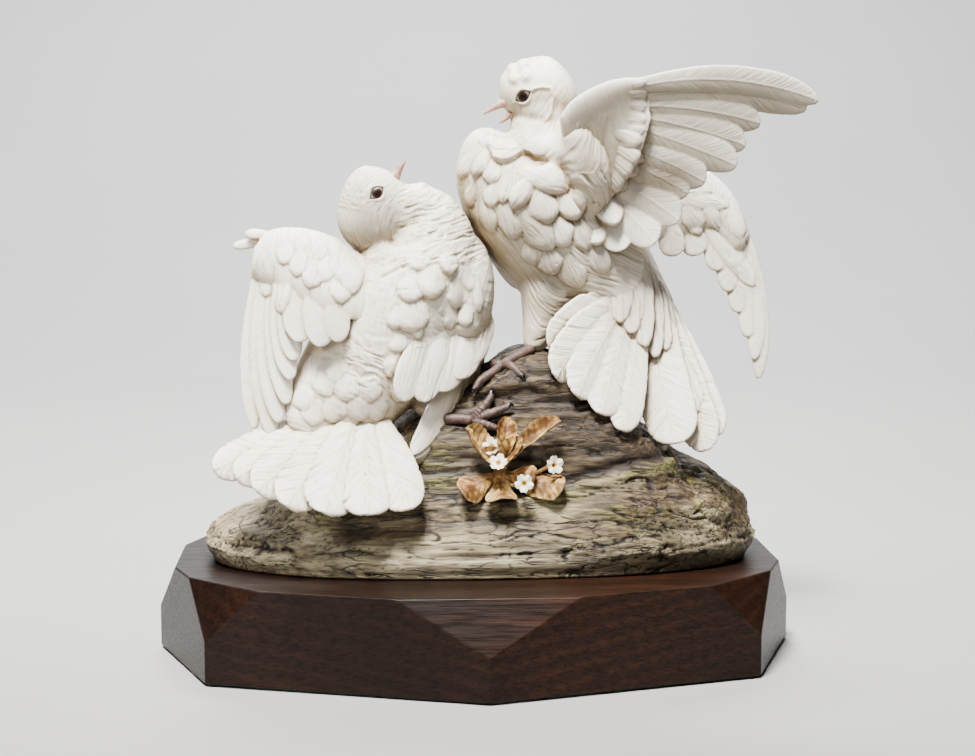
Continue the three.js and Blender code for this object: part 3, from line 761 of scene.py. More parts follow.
# Lobes of the back and the shoulders as they are seen: root x, z, tip x, z, half width, swell.
LEFT_TUFTS = [
    (-14, 201, -14.5, 188.5, 5.6, 2.4), (-29, 200, -29.5, 190.5, 6.2, 1.0),
    (-22, 193, -23.5, 176, 7.6, 2.8), (-32, 189, -33.5, 174.5, 7.2, 2.2),
    (-32, 178, -33, 158.5, 8.6, 2.3), (-38, 173, -41.5, 161, 4.6, 1.7),
    (-10, 187, -10.5, 171.5, 6.4, 1.7), (-5, 193, -3.5, 180, 4, 1.2), (-13, 174, -13.5, 160.5, 4.8, 1.7),
    (-6, 174, -5.5, 161.5, 4, 1.8), (0, 186, 1, 169.5, 3.4, 1.5), (-39, 159, -40, 149, 5, 1.6),
    (-39, 151, -43.5, 137.5, 5, 2.0), (-37, 145, -39.5, 124, 6, 1.8), (-66, 199, -60.5, 178.5, 7, 2.2),
    (-70, 187, -66, 174.5, 5, 1.5), (-63, 178, -61, 168.5, 5, 1.8), (-76, 142.3, -76.4, 127.1, 6.2, 1.42),
    (-65, 141.5, -65.4, 124.3, 7, 1.65), (-71, 130.4, -71.4, 114.2, 6.6, 1.72),
    (-59.5, 130.9, -59.9, 114.7, 6.6, 1.58), (-81.5, 127, -81.9, 112.3, 6, 1.2),
    (-53, 139.6, -53.4, 123.9, 6.4, 1.2), (-70, 149, -70.4, 134.3, 6, 1.05),
    (-64.5, 121.8, -64.9, 109.1, 5.2, 1.42), (-50, 128.4, -50.4, 114.7, 5.6, 1.05),
    (-87, 135, -87.4, 120.3, 6, 1.05),
]


# Rings of tufts round the body: share along, tuft length, how many, swell.
LEFT_RINGS = [
    (0.30, 15, 10, 1.2), (0.42, 15, 11, 1.2), (0.54, 14, 12, 1.2), (0.66, 13, 12, 1.1), (0.76, 12, 11, 1.0),
]


def left_body():
    limbs = (LEFT_BODY, LEFT_FLANK, LEFT_THIGH, LEFT_SHOULDER, LEFT_HEAD, LEFT_THROAT)
    parts = plumage(limbs, LEFT_BODY, LEFT_TUFTS, LEFT_RINGS, 0.25)
    skin, tree, normals, along, around, grain, height = parts
    p = skin.points
    head_along, head_around = LEFT_HEAD.place(p)
    x, z = seen(p)
    front = smooth(0.0, 0.3, -normals[:, 1])
    head = smooth(-36, -44, p[:, 0]) * smooth(200, 208, p[:, 2])
    neck = smooth(188, 198, z) * (1 - head)
    crown = head * smooth(-50, -58, x) * smooth(217, 224, z)
    rump = bell(x + 58, 18) * bell(z - 138, 14) * front
    back = smooth(202, 192, z)
    open_skin = smooth(0.6, 0.1, height)
    relief = 0.5 * neck * ripples(x - 0.3 * z, z - 0.28 * x, 31, 1.5, 5) * front
    relief += 0.26 * crown * ripples(head_around, head_along, 37, 1.15, 5)
    relief += 0.34 * head * strands(head_around, head_along, 38, 1.0, 6)
    relief += (0.20 * back + 0.45 * rump) * ripples(around, along, 41, 1.8, 6) * (0.6 + 0.4 * open_skin)
    relief += 0.2 * strands(grain[:, 0], grain[:, 1], 43, 1.0, 10) * (1 - head)
    relief += 1.4 * bell(x + 27, 3.6) * bell(z - 232, 3.2) + 0.8 * bell(x + 34, 3.0) * bell(z - 229, 3.0)
    relief += seen_groove(p, tree, ((-47, 187), (-42, 189.5), (-38, 191.5), (-34, 193)), 0.9, 0.7)
    relief += seen_groove(p, tree, ((-40, 180.6), (-37.5, 180.3), (-35, 180.6)), 0.5, 0.5)
    eye = Eye(tree, (-53, 226), (-46, 232), EYE_HEIGHT)
    skin.raised(normals, height).relax(2).raised(normals, relief + eye.socket(p))
    return skin, grain, eye


LEFT_OPEN_ARM = Arm(
    [[-44, -36, 196], [-58, -38, 201], [-71, -38, 209], [-86, -37, 213], [-100, -35, 212], [-108, -34, 204]],
    [[-52, -50, 168], [-64, -53, 171], [-76, -52, 176], [-88, -48, 181], [-99, -42, 186], [-110, -38, 190]],
    (-0.1, -0.97, 0.2), 9, 3, 3)
LEFT_OPEN_FLIGHT = [
    [[-106, -37, 196], [-109, -44, 117], 5, 3],
    [[-103, -38, 196], [-100, -46, 112], 6, 3],
    [[-101, -38, 196], [-97, -47, 120], 6, 2.5],
    [[-99, -39, 194], [-93, -48, 129], 5.5, 2],
    [[-96, -41, 192], [-91, -49, 141], 5.5, 2],
    [[-93, -43, 190], [-89, -49, 150], 5.5, 1],
    [[-88, -44, 194], [-86, -51, 159], 7, 1],
    [[-79, -46, 194], [-76, -53, 157], 7.5, 0],
    [[-69, -48, 192], [-68, -53, 159], 6, 0],
]
LEFT_ALULA = [[[-102, -34, 207], [-119, -30, 204], 2.6], [[-100, -34, 210], [-113, -34, 210], 2.6]]
LEFT_OPEN_TUFTS = [
    (-93, 206, -96.5, 193.5, 4.6, 1.1), (-86, 202, -90, 188, 4.6, 1.1), (-79, 197, -84, 181.5, 5, 1.5),
    (-73, 198, -78, 185, 5, 0.9), (-105, 200, -105, 177, 4.6, 1.2), (-98, 194, -97, 169, 4.6, 1.2),
    (-66, 200, -62, 179, 7, 2.0), (-70, 188, -66.5, 174, 5, 1.6), (-84, 209, -88, 200, 4, 0.5),
    (-75, 207, -80, 197, 4, 0.5), (-67, 200, -72, 190, 4, 0.6),
]


def wing(shells, tuft_rows, depth=0.17, pitch=1.0, run=12.0, shaft_height=0.22):
    """Feather shells run together into one skin, with tufts, raised shafts and the grooves between barbs."""
    skin = Skin(shells, FINE).relax(2)
    grain = carried(shells, skin.points)
    shaft = grain[:, 2]
    normals = skin.normals()
    plumes = grain[:, :2].copy()
    if tuft_rows:
        height = tuft_relief(skin.points, normals, seen_tufts(skin.tree(), tuft_rows), plumes, reach=5.0)
        skin.raised(normals, height).relax(1, 0.6)
        shaft = np.where(height > 0.1, NO_SHAFT, shaft)
    lines = strands(plumes[:, 0], plumes[:, 1], 91, pitch, run)
    relief = depth * lines * smooth(0.3, 1.3, np.abs(shaft)) * np.where(shaft > NO_SHAFT - 0.5, 1.5, 1.0)
    relief += shaft_height * bell(shaft, 0.55)
    return skin.raised(normals, relief), plumes


def left_open_wing():
    up = LEFT_OPEN_ARM.up
    shells = [LEFT_OPEN_ARM.shell()]
    shells += flight(LEFT_OPEN_FLIGHT, up, 0.35, tilt=0.6)
    shells += flight(LEFT_ALULA, up, 0.5, thick=2.2)
    return wing(shells, LEFT_OPEN_TUFTS)


LEFT_FOLDED_ARM = Arm(
    [[-12, -16, 208], [3, -12, 202], [8, -10, 187], [6, -12, 168], [-1, -20, 150]],
    [[-30, -48, 204], [-37, -52, 188], [-38, -54, 170], [-38, -54, 154], [-38, -52, 142]],
    (0.62, -0.78, -0.05), 6, 5, 6)
LEFT_PRIMARIES = [
    [[2, -18, 160], facing(-31.2, 92.5, -50), 7, -8], [[0, -20, 160], facing(-31.8, 93.2, -50.5), 8, -7],
    [[-3, -22, 160], facing(-32.5, 94.2, -51), 8, -6], [[-6, -25, 160], facing(-33.2, 95.6, -51.5), 8, -5],
    [[-9, -28, 160], facing(-34, 97.6, -52), 8, -4],
]
LEFT_SECONDARIES = [
    [[2, -22, 176], facing(1, 152, -34), 6.5, -1], [[0, -26, 172], facing(-4, 144, -41), 8, -1],
    [[-6, -33, 168], facing(-11, 136, -46), 9, -2], [[-14, -38, 166], facing(-19.5, 129.5, -50), 9.5, -2],
    [[-21, -43, 166], facing(-28.5, 124.5, -54), 8, -1], [[-30, -48, 165], facing(-38.5, 125, -56), 7.5, 0],
]
# The folded wing repeats lobes of the back: the number of each one, and its swell on the wing.
FOLDED_SWELLS = {
    0: 2.2, 2: 2.6, 3: 2.0, 4: 2.2, 5: 1.7, 6: 1.5, 7: 1.1, 8: 1.6, 9: 1.7, 10: 1.4, 11: 1.5, 12: 2.0, 1: 1.0,
}
LEFT_FOLDED_TUFTS = [(*LEFT_TUFTS[i][:5], swell) for i, swell in FOLDED_SWELLS.items()]
LEFT_FOLDED_TUFTS += [(4, 180, 4.5, 162, 2.6, 0.9), (4, 196, 5, 182, 3, 0.7)]


def left_folded_wing():
    up = unit((0.45, -0.88, -0.1))
    shells = [LEFT_FOLDED_ARM.shell()]
    shells += flight(LEFT_PRIMARIES, up, 0.5, camber=2, tilt=-0.8, blunt=0.3, hair=True)
    shells += flight(LEFT_SECONDARIES, up, 0.4, camber=1.5, tilt=-0.9, blunt=0.6, thick=2.4, hair=True)
    return wing(shells, LEFT_FOLDED_TUFTS)


LEFT_TAIL_UP = unit((0.05, -0.82, 0.57))
LEFT_TAIL = [
    [[-66, -38, 126], [-128, -56, 99], 10, 0], [[-65, -39, 126], [-117, -61, 95.5], 10, 0],
    [[-64, -40, 126], [-107, -67, 90], 11.5, 0], [[-62, -41, 126], [-93, -73, 83.5], 12, 0],
    [[-60, -42, 126], [-75, -77, 80.5], 12.5, 0],
]
LEFT_TAIL_TOP = [[[-52, -42, 128], [-36, -76, 82.5], 11.5, 0], [[-56, -42, 127], [-55, -79, 80.5], 12.5, 0]]


def left_tail():
    style = dict(root_share=0.4, blunt=0.78, arch=0.24, thick=2.2, slant=0.9)
    shells = flight(LEFT_TAIL, LEFT_TAIL_UP, 0.5, tilt=1.1, **style)
    shells += flight(LEFT_TAIL_TOP, LEFT_TAIL_UP, 0.9, **style)
    return wing(shells, [], depth=0.5, pitch=1.9, run=14.0, shaft_height=0.6)


# Right dove: standing tall, its head turned down to its mate, both wings raised behind it

RIGHT_BODY = Limb([
    [84, -11, 152, 17, 8], [77, -8, 168, 22, 15], [64.5, -4, 184, 28, 23], [49, -3, 200, 33.5, 29],
    [34, -4, 218, 35, 31], [24, -5, 235, 35, 31], [20, -6, 244, 29.5, 27], [25, -7, 253, 18, 18],
])
RIGHT_NECK = Limb([
    [30, -8, 282, 12], [32, -9, 272, 14.5], [32, -10, 262, 15.5], [32, -10, 252, 17], [32, -8, 240, 18],
])
RIGHT_HEAD = Limb([
    [48, -7, 281, 9, 8], [40, -8, 278.6, 17, 15], [30, -8, 277.5, 18.3, 16], [20, -9, 276.5, 15.5, 13],
    [12, -10, 274, 7, 6],
])
RIGHT_THIGH = Limb([
    [41, -6, 202, 20, 17], [37.5, -12, 184, 17.5, 15], [33, -15, 169, 11.5, 11], [29, -18, 158, 7, 7],
    [27, -20, 150, 4],
])
RIGHT_FAR_THIGH = Limb([[42, 6, 196, 16, 14], [40, 11, 178, 12, 12], [38, 13, 164, 8, 8], [36, 14, 150, 4]])
RIGHT_SHOULDER = Limb([
    [*facing(45, 262, -36), 6, 8], [*facing(50.5, 256, -31), 10, 13], [*facing(55, 246, -27), 12, 18],
    [*facing(57, 234, -23), 12, 18], [*facing(58, 222, -17), 9, 13],
])
RIGHT_NAPE = Limb([[33, -17, 249, 10], [40, -24, 250, 10], [48, -31, 250, 9]])
RIGHT_MANTLE = Limb([[20, 6, 248, 10], [32, 9, 251, 12], [44, 5, 249, 10]])
RIGHT_TUFTS = [
    (22, 262, 6, 258, 4, 1.2), (24, 256, 9, 250, 5, 1.4), (14, 260, 1, 255, 3, 0.9),
    (1, 250, -8, 236, 5, 2.2), (7, 250, -1, 237, 4.6, 2.3), (20, 244, 47, 231, 8, 3.4),
    (28, 238, 18, 221.5, 5.2, 2.8), (31, 231, 36, 213.5, 7.6, 3.2), (42, 232, 51, 215.5, 7.4, 3.4),
    (20, 221, 39, 201, 7.5, 2.6), (38, 217, 46, 203, 6.4, 2.3), (0, 234, -4, 222, 4.5, 1.6),
    (10, 236, 7, 222, 5, 1.6), (4, 226, 8, 209, 5.5, 1.5), (14, 224, 20, 206, 6.5, 1.8),
    (10, 246, 6, 234, 5, 1.4), (16, 240, 13, 224, 5, 1.5), (26, 206, 30, 193, 6, 1.2),
    (34, 203, 40, 188, 6.5, 2.4), (50, 216, 57, 201, 6, 1.6), (58, 224, 63, 210, 6, 1.6),
    (44, 198, 52, 182, 7, 1.4), (58, 206, 66, 190, 7, 1.4),
]
COLLAR_LEDGE = np.array([
    (6, 252), (9, 245), (13, 243.5), (18, 244.5), (22, 247.5), (27, 248.5), (30, 246.5), (38, 246.5),
    (44, 249), (47, 255),
], float)


RIGHT_RINGS = [
    (0.22, 16, 9, 1.3), (0.34, 16, 11, 1.3), (0.46, 16, 13, 1.4), (0.58, 15, 13, 1.4), (0.70, 14, 13, 1.3),
    (0.80, 12, 12, 1.1),
]
BROW_PATH = ((28, 280.3), (32, 281.2), (37, 281), (38.8, 276.5), (37.4, 272), (37, 268), (35, 265))
FOREHEAD_BUMPS = ((19, 285.5), (25, 286.8), (17.5, 291), (23.5, 292.5))


def right_body():
    limbs = (RIGHT_BODY, RIGHT_SHOULDER, RIGHT_NAPE, RIGHT_MANTLE, RIGHT_NECK, RIGHT_HEAD, RIGHT_THIGH,
             RIGHT_FAR_THIGH)
    parts = plumage(limbs, RIGHT_BODY, RIGHT_TUFTS, RIGHT_RINGS, 0.2, 0.55)
    skin, tree, normals, along, around, grain, height = parts
    p = skin.points
    x, z = seen(p)
    front = smooth(0.0, 0.35, -normals[:, 1])
    over = z - np.interp(x, COLLAR_LEDGE[:, 0], COLLAR_LEDGE[:, 1])
    collar = smooth(-0.6, 1.6, over) * smooth(17, 4, over) * smooth(3, 9, x) * smooth(38, 27, x) * front
    height = height * (1 - 0.5 * collar) + 2.8 * collar
    head = smooth(263, 269, p[:, 2])
    flank = smooth(44, 52, x) * smooth(252, 244, z) * smooth(176, 196, z)
    thigh = smooth(196, 184, z) * smooth(56, 46, x)
    shoulder = bell(x - 56, 12) * bell(z - 243, 18) * front
    nape = smooth(-0.5, 0.0, normals[:, 1]) * bell(p[:, 2] - 249, 7)
    fur = (0.33 + 0.22 * flank + 0.10 * thigh + 0.4 * shoulder) * (1 - head) * (1 - 0.9 * nape)
    relief = fur * strands(grain[:, 0], grain[:, 1], 53, 1.05, 13)
    relief += 0.22 * head * strands(around, along, 57, 1.0, 7)
    relief += seen_groove(p, tree, BROW_PATH, 0.9, -0.9)
    for bump_x, bump_z in FOREHEAD_BUMPS:
        relief += 1.5 * smooth(4.0, 0.8, np.hypot(x - bump_x, z - bump_z)) * front
    relief -= 1.2 * bell(x - 27, 10) * bell(z - 266 + 0.15 * (x - 27), 2.2) * front
    eye = Eye(tree, (19.5, 274.3), (27, 279), EYE_HEIGHT)
    skin.raised(normals, height).relax(2).raised(normals, relief + eye.socket(p))
    return skin, grain, eye


NEAR_ARM = Arm(
    [[38, -40, 266], [44, -43, 274], [56, -46, 281], [67, -47, 284], [79, -48, 284]],
    [[48, -24, 212], [60, -30, 222], [70, -38, 236], [77, -43, 250], [81, -46, 265]],
    (0.12, -0.98, -0.15), 8, 4, -4)
NEAR_FLIGHT = seen_feathers([
    (54, 230, -24, 75, 200.7, -33, 8, 0), (59, 234, -28, 90.4, 203.6, -35, 9, -1),
    (63, 240, -31, 102.2, 215.3, -36, 9, -1), (67, 248, -35, 106.6, 229.1, -36, 8, -1),
    (69, 255.5, -37, 115, 234.9, -37, 8.5, -1), (71, 264.7, -39, 130.8, 243.2, -38, 8.5, -1),
    (71, 268.9, -40, 135, 253.4, -38, 8.5, -2), (71, 273, -41, 142.2, 264.5, -39, 8, -3),
    (71, 276.5, -42, 165.4, 272.3, -39, 8, -6), (71, 281, -44, 171, 276, -40, 7, -8),
])
AXILLARIES = seen_feathers([(58, 240, -24, 70.5, 213, -36, 7.5), (51, 226, -20, 62, 203.5, -33, 7)])
NEAR_TUFTS = [
    (77, 283, 84.5, 283.2, 3.4, 0.6), (76, 278, 85, 277.8, 3.4, 0.7), (76, 272.5, 85, 272.2, 3.6, 0.7),
    (76, 266.5, 85, 266, 3.6, 0.8), (76, 261, 84.5, 260.3, 3.6, 0.8), (70, 259, 83, 253, 5, 1.6),
    (70, 251, 84, 245, 5, 1.8), (66, 248, 81, 237.5, 5.5, 1.8), (60, 247, 74.5, 230, 6, 1.8),
    (62, 268, 58, 219, 8.5, 2.4), (50, 264, 46, 222, 8, 1.8), (66, 264, 66, 234, 5, 1.6),
]


def right_near_wing():
    shells = [NEAR_ARM.shell()]
    shells += flight(NEAR_FLIGHT, unit((0.12, -0.93, -0.35)), 0.35, blunt=0.75, tilt=0.7)
    shells += flight(AXILLARIES, NEAR_ARM.up, 0.5, thick=4.5, blunt=0.5, arch=0.25, hair=True)
    return wing(shells, NEAR_TUFTS, depth=0.12, pitch=1.2, run=16.0)


FAR_ARM = Arm(
    [[36, 6, 226], [62, 20, 231], [86, 31, 236], [108, 40, 241], [124, 44, 239], [138, 46, 226],
     [147, 46, 206]],
    [[44, 6, 198], [66, 20, 202], [88, 30, 204], [105, 37, 204], [118, 41, 206], [128, 43, 204],
     [138, 44, 196]],
    (0.1, -0.98, 0.15), 8, 3, 3)
FAR_FLIGHT = [
    [[141, 45, 216], [151.5, 40, 130], 5, -5],
    [[138, 45, 214], [149, 40, 140], 5, -5],
    [[135, 45, 212], [145, 41, 152], 5.5, -4],
    [[131, 44, 212], [140, 42, 165], 6, -3],
    [[127, 43, 212], [135, 42, 176], 6, -2],
    [[122, 42, 214], [129, 42, 187], 6, -1],
    [[112, 40, 214], [118, 41, 195], 7, 0],
    [[100, 35, 214], [106, 38, 195], 7, 0],
]
FAR_TUFTS = [
    (112, 232, 121, 210, 5, 1.2), (104, 226, 113, 208, 6, 1.2), (128, 226, 133, 205, 5, 1.0),
    (120, 240, 127, 222, 5, 0.9), (112, 244, 118, 230, 5, 0.8), (127, 218, 133, 189, 6.5, 1.1),
    (135, 224, 141, 182, 6, 1.0),
]


def right_far_wing():
    shells = [FAR_ARM.shell()] + flight(FAR_FLIGHT, FAR_ARM.up, 0.3, tilt=-0.5)
    return wing(shells, FAR_TUFTS)


RIGHT_TAIL_UP = unit((-0.1, -0.95, -0.3))
RIGHT_TAIL = [
    [[70, -18, 180], facing(37.5, 149, -40), 10.5, 3],
    [[72, -19, 178], facing(40, 136, -47), 10.5, 3],
    [[74, -19, 176], facing(51, 126.5, -49), 10, 2],
    [[77, -19, 174], facing(63, 117.5, -49), 9.5, 1],
    [[80, -19, 172], facing(74.5, 109, -49), 8.5, 0],
]
RIGHT_TAIL_OUTER = [
    [[92, -12, 172], facing(123.5, 105.5, -38), 8, -1], [[90, -14, 172], facing(117.5, 98, -40), 10, 0],
    [[86, -15, 172], facing(102, 102, -43), 13, 1],
]
UNDERTAIL = seen_feathers([
    (64, 196, -12, 61, 172.5, -24, 8), (82, 196, -8, 100, 154, -22, 7),
    (67, 199, -12, 67, 168, -26, 8), (81, 200, -9, 96.5, 150, -26, 8),
    (71, 203, -12, 73, 164, -28, 8), (80, 204, -10, 91, 146.5, -28, 9),
    (75, 205, -11, 79, 158.5, -29, 8.5), (78, 206, -11, 85.5, 152, -30, 8.5),
])


RIGHT_TAIL_CORE = [[[74, -13, 178], facing(58, 130, -41), 13], [[86, -10, 174], facing(108, 114, -34), 12]]


def right_tail():
    style = dict(blunt=0.8, thick=1.9, slant=0.8)
    up = RIGHT_TAIL_UP
    shells = flight(RIGHT_TAIL, up, 0.4, tilt=0.6, root_share=0.55, **style)
    shells += flight(RIGHT_TAIL_OUTER, up, 0.4, tilt=-0.4, root_share=0.8, **style)
    shells += flight(UNDERTAIL, up, 0.2, thick=2.4, blunt=0.15, arch=0.06, hair=True)
    shells += flight(RIGHT_TAIL_CORE, up, 0, thick=6, hair=True)
    return wing(shells, [], depth=0.4, pitch=1.9, run=20.0, shaft_height=0.45)


# Log

LOG_MIDDLE_X = 2.0
LOG_HALF_LENGTH = 140.0
LOG_HALF_DEPTH = 72.0
LOG_POWER = 2.4
LOG_UNDERCUT = 4.0
RIDGE = np.array([
    (-110, 80), (-70, 98), (-35, 121), (0, 139), (26, 151), (42, 146), (70, 126), (96, 108), (122, 100),
], float)


def ridge_height(x):
    x = np.asarray(x, float)
    t = np.interp(x, RIDGE[:, 0], np.linspace(0, 1, len(RIDGE)))
    return catmull(RIDGE, t)[..., 1]


def log_height(x, y):
    slab = 80 + 24 * smooth(-40, 100, x)
    face = smooth(-62, -40, y) * smooth(72, 25, y)
    furrow = 5 * bell(y + 54, 5) * smooth(0, 40, x)
    return slab + np.maximum(0, ridge_height(x) - slab) * face - furrow


# The log's foot turns in to the plinth: share of its full outline, and how far up that is.
LOG_FOOT = [
    (0.955, 0.0), (0.972, 2.0), (0.985, LOG_UNDERCUT), (0.995, 1.7 * LOG_UNDERCUT),
    (1.0, 2.5 * LOG_UNDERCUT),
]


def log_shell():
    angle = np.linspace(0, 2 * np.pi, 240, endpoint=False)
    c, s = np.cos(angle), np.sin(angle)
    reach = (np.abs(c) ** LOG_POWER + np.abs(s) ** LOG_POWER) ** (-1 / LOG_POWER)

    def ring(share):
        return LOG_MIDDLE_X + LOG_HALF_LENGTH * reach * c * share, LOG_HALF_DEPTH * reach * s * share

    rings = [np.stack([*ring(share), np.full(len(angle), PLINTH_TOP + rise)], 1) for share, rise in LOG_FOOT]
    for share in np.sin(np.linspace(np.pi / 2 - 0.12, 0.02, 60)):
        x, y = ring(share)
        rise = (1 - share ** 4) ** (1 / 2.5)
        z = PLINTH_TOP + (log_height(x, y) - PLINTH_TOP) * rise
        rings.append(np.stack([x, y, np.maximum(z, PLINTH_TOP + LOG_FOOT[-1][1])], 1))
    return loft(rings)


# Knots in the wood: where each is, how far it reaches, and how strongly the grain bends round it.
KNOTS = [
    ((62, -44, 116), 9, 0.8), ((40, -46, 104), 7, 0.7), ((22, -42, 132), 6, 0.7), ((96, -48, 84), 8, 0.7),
    ((-84, -56, 66), 8, 0.6),
]


LOG_VOXEL = 0.75


def log_skin():
    skin = Skin([log_shell()], LOG_VOXEL).relax(8)
    p = skin.points
    n = skin.normals()
    x, y, z = p.T
    rising = 0.06 * (x - 60) * smooth(60, 110, x)
    q = p + np.stack([0 * x, 1.6 * noise(p / 22, 3), 1.6 * noise(p / 20, 4) + rising], 1)
    for knot, reach, pull in KNOTS:
        off = p - np.array(knot)
        near = bell(np.linalg.norm(off, axis=1), reach)
        q = q - (pull * near)[:, None] * off * (0, 1, 1)
    strata = noise(q / (80, 14, 10), 5)
    ridges = 1 - 2 * np.abs(noise(q / (46, 6.5, 4.6), 6))
    grain = 1 - 2 * np.abs(noise(q / (24, 2.6, 2.1), 7))
    fine = 1 - 2 * np.abs(noise(q / (9, 1.2, 1.0), 8))
    lump = noise(p / (15, 10, 10), 9)
    left = smooth(-20, -70, x)
    cracked = smooth(0.0, 0.5, noise(p / (26, 12, 9), 10) + 0.25)
    crack = bell(noise(q / (19, 4.6, 3.4), 12), 0.045) * cracked
    hair = bell(noise(q / (9, 2.6, 2.0), 13), 0.07) * smooth(0.1, 0.5, noise(p / 12, 14) + 0.15)
    pits = smooth(0.55, 0.75, noise(p / (1.9, 1.6, 1.6), 15)) * smooth(0.1, 0.4, noise(p / 15, 16))
    split = bell(noise(q / (40, 5.0, 3.6), 24), 0.06) * smooth(0.0, 0.4, noise(p / (40, 14, 12), 25) + 0.2)
    above = smooth(PLINTH_TOP + 4, PLINTH_TOP + 14, z)
    rough = mix(0.55, 1.0, smooth(-50, -42, y) * smooth(86, 96, z))
    relief = 2.6 * strata + 1.2 * ridges * rough + 0.6 * grain * rough + 0.26 * fine + 1.1 * lump * left
    relief = relief * above + 0.12 * grain * (1 - above)
    for knot, reach, _ in KNOTS:
        gap = np.linalg.norm((p - np.array(knot)) * (0.75, 1, 1), axis=1)
        relief += 1.3 * bell(gap, 0.5 * reach) * above
    seen_x, seen_z = seen(p)
    front = smooth(-20, -40, y)
    rise = seen_z - (66.5 + 0.235 * seen_x + 1.5 * noise(p / (18, 18, 18), 26))
    ledge = smooth(2, 20, seen_x) * smooth(116, 100, seen_x) * front
    relief += (1.8 * bell(rise, 3.2) - 1.6 * bell(rise - 7, 3.0)) * ledge
    relief -= 0.9 * crack * above + 0.35 * hair + 0.15 * pits + 1.1 * split * above
    seam = z - 60 - 1.2 * noise(p / 15, 17)
    relief -= 1.0 * bell(seam, 1.1) * smooth(-0.2, 0.3, noise(p / (30, 30, 30), 18) + 0.15)
    relief -= 1.2
    relief *= smooth(PLINTH_TOP + 0.3, PLINTH_TOP + 2.5, z)
    skin.raised(n, relief).relax(1)
    upper = smooth(-58, -50, y) * smooth(84, 92, z - 0.08 * x) * smooth(-60, -20, x)
    moss = 1.2 * bell(rise - 0.5, 4.0) * ledge * smooth(-0.6, 0.1, noise(p / (16, 8, 8), 21))
    moss += 0.8 * smooth(-40, -30, x) * smooth(-6, -20, x) * smooth(86, 92, z) * smooth(118, 104, z)
    moss += 0.5 * smooth(0.3, 0.6, noise(p / 15, 22)) * smooth(60, 70, z) * (1 - upper)
    mauve = upper * 0.95 + 0.7 * smooth(0.1, 0.45, noise(p / (22, 14, 9), 23)) * smooth(60, 66, z)
    mauve += 0.9 * bell(rise + 11, 6) * smooth(40, 60, seen_x) * smooth(120, 108, seen_x) * front
    # Paler paint on the left end, low on the left and in streaks on the front. The left end is pale paint and
    # also painted light against the tail's shadow.
    pale = 0.9 * smooth(-50, -85, x) + 0.8 * smooth(68, 58, z) * smooth(-120, -60, x)
    pale += 0.8 * smooth(-46, -60, y) * smooth(0.3, -0.35, strata) * smooth(-60, -10, x)
    # Dark marks: the cracks, splits, hairlines and pits, the darker upper wood, and painted shade in the
    # furrow over the ledge.
    dark = crack * 1.2 + split + 0.55 * hair + 0.2 * pits + 0.9 * bell(rise - 8, 4) * ledge + 0.4 * upper
    return skin, dict(moss=clamp(moss), mauve=clamp(mauve), pale=clamp(pale * (1 - upper)), dark=clamp(dark))


def painted_bark():
    """The log's matt paint: greys and beiges, mauve-brown wood, moss, dark-stained cracks, and painted shade
    in its crevices and in the furrow over its ledge.
    """
    n = Nodes("painted bark")
    fibres = n.place((0.11, 1, 1))
    wash = n.noise(60, 5, 0.6, n.place((0.35, 1, 1)))
    streak = n.noise(560, 5, 0.7, fibres, 0.4)
    thin = n.noise(170, 3, 0.6, fibres, 0.6)
    greys = [(0.38, srgb(112, 96, 74)), (0.5, srgb(162, 150, 124)), (0.62, srgb(206, 198, 174))]
    colour = n.ramp(wash, greys)
    # Paler paint where pale is set; at the left end it is partly painted light against the tail's shadow.
    colour = n.blend(n.times(n.value("pale"), 0.75), colour, srgb(210, 203, 184))
    brown = n.ramp(streak, [(0.38, srgb(58, 43, 35)), (0.5, srgb(98, 79, 64)), (0.62, srgb(150, 132, 104))])
    colour = n.blend(n.times(n.value("mauve"), n.range(wash, 0.25, 0.6, 0.6, 0.95)), colour, brown)
    green = n.ramp(streak, [(0.40, srgb(84, 88, 46)), (0.60, srgb(182, 184, 104))])
    colour = n.blend(n.times(n.value("moss"), n.range(thin, 0.35, 0.6, 0.15, 0.95)), colour, green)
    streaks = [(0.38, (0.42, 0.37, 0.32)), (0.48, (0.88, 0.87, 0.85)), (0.60, (1.18, 1.16, 1.10))]
    colour = n.tint(colour, n.ramp(streak, streaks), 0.85)
    # Dark brown in the cracks and crevices: the cracks' stain, painted shade in the crevices, and painted
    # shade in the furrow over the ledge.
    stain_and_shade = n.math("ADD", n.times(n.value("hollow"), 0.85), n.times(n.value("dark"), 0.75), True)
    colour = n.blend(stain_and_shade, colour, srgb(44, 32, 25))
    hairline = n.range(n.math("ABSOLUTE", n.math("SUBTRACT", thin, 0.5)), 0.022, 0.004)
    hairline = n.times(hairline, n.range(n.noise(45, 2, 0.5), 0.38, 0.55, 0.0, 0.9))
    fissure = n.range(n.cell_edge(130, (0.12, 1, 1)), 0.05, 0.012)
    fissure = n.times(fissure, n.range(n.noise(38, 3, 0.6, n.place((0.5, 1, 1))), 0.49, 0.6, 0.0, 0.75))
    line = n.math("MAXIMUM", hairline, fissure)
    colour = n.blend(line, colour, srgb(46, 32, 26))
    colour = n.tint(colour, n.ramp(wash, [(0.35, (0.34, 0.315, 0.26)), (0.65, (0.56, 0.53, 0.44))]))
    # Painted shade: darker deep in the cracks and creases, by how open the surface is.
    crease_shade = [(0.25, (0.22, 0.17, 0.13)), (0.6, (0.66, 0.60, 0.52)), (0.9, (1, 1, 1))]
    colour = n.tint(colour, n.ramp(n.open_sky(0.004), crease_shade))
    bump = n.bump(streak, 0.0007, 0.8, n.bump(n.math("SUBTRACT", 1.0, line), 0.0012, 0.9))
    roughness = n.range(wash, 0.3, 0.7, 0.5, 0.72)
    return n.set(Base_Color=colour, Roughness=roughness, Specular_IOR_Level=0.35, Normal=bump)


# Feet, beaks and eyes

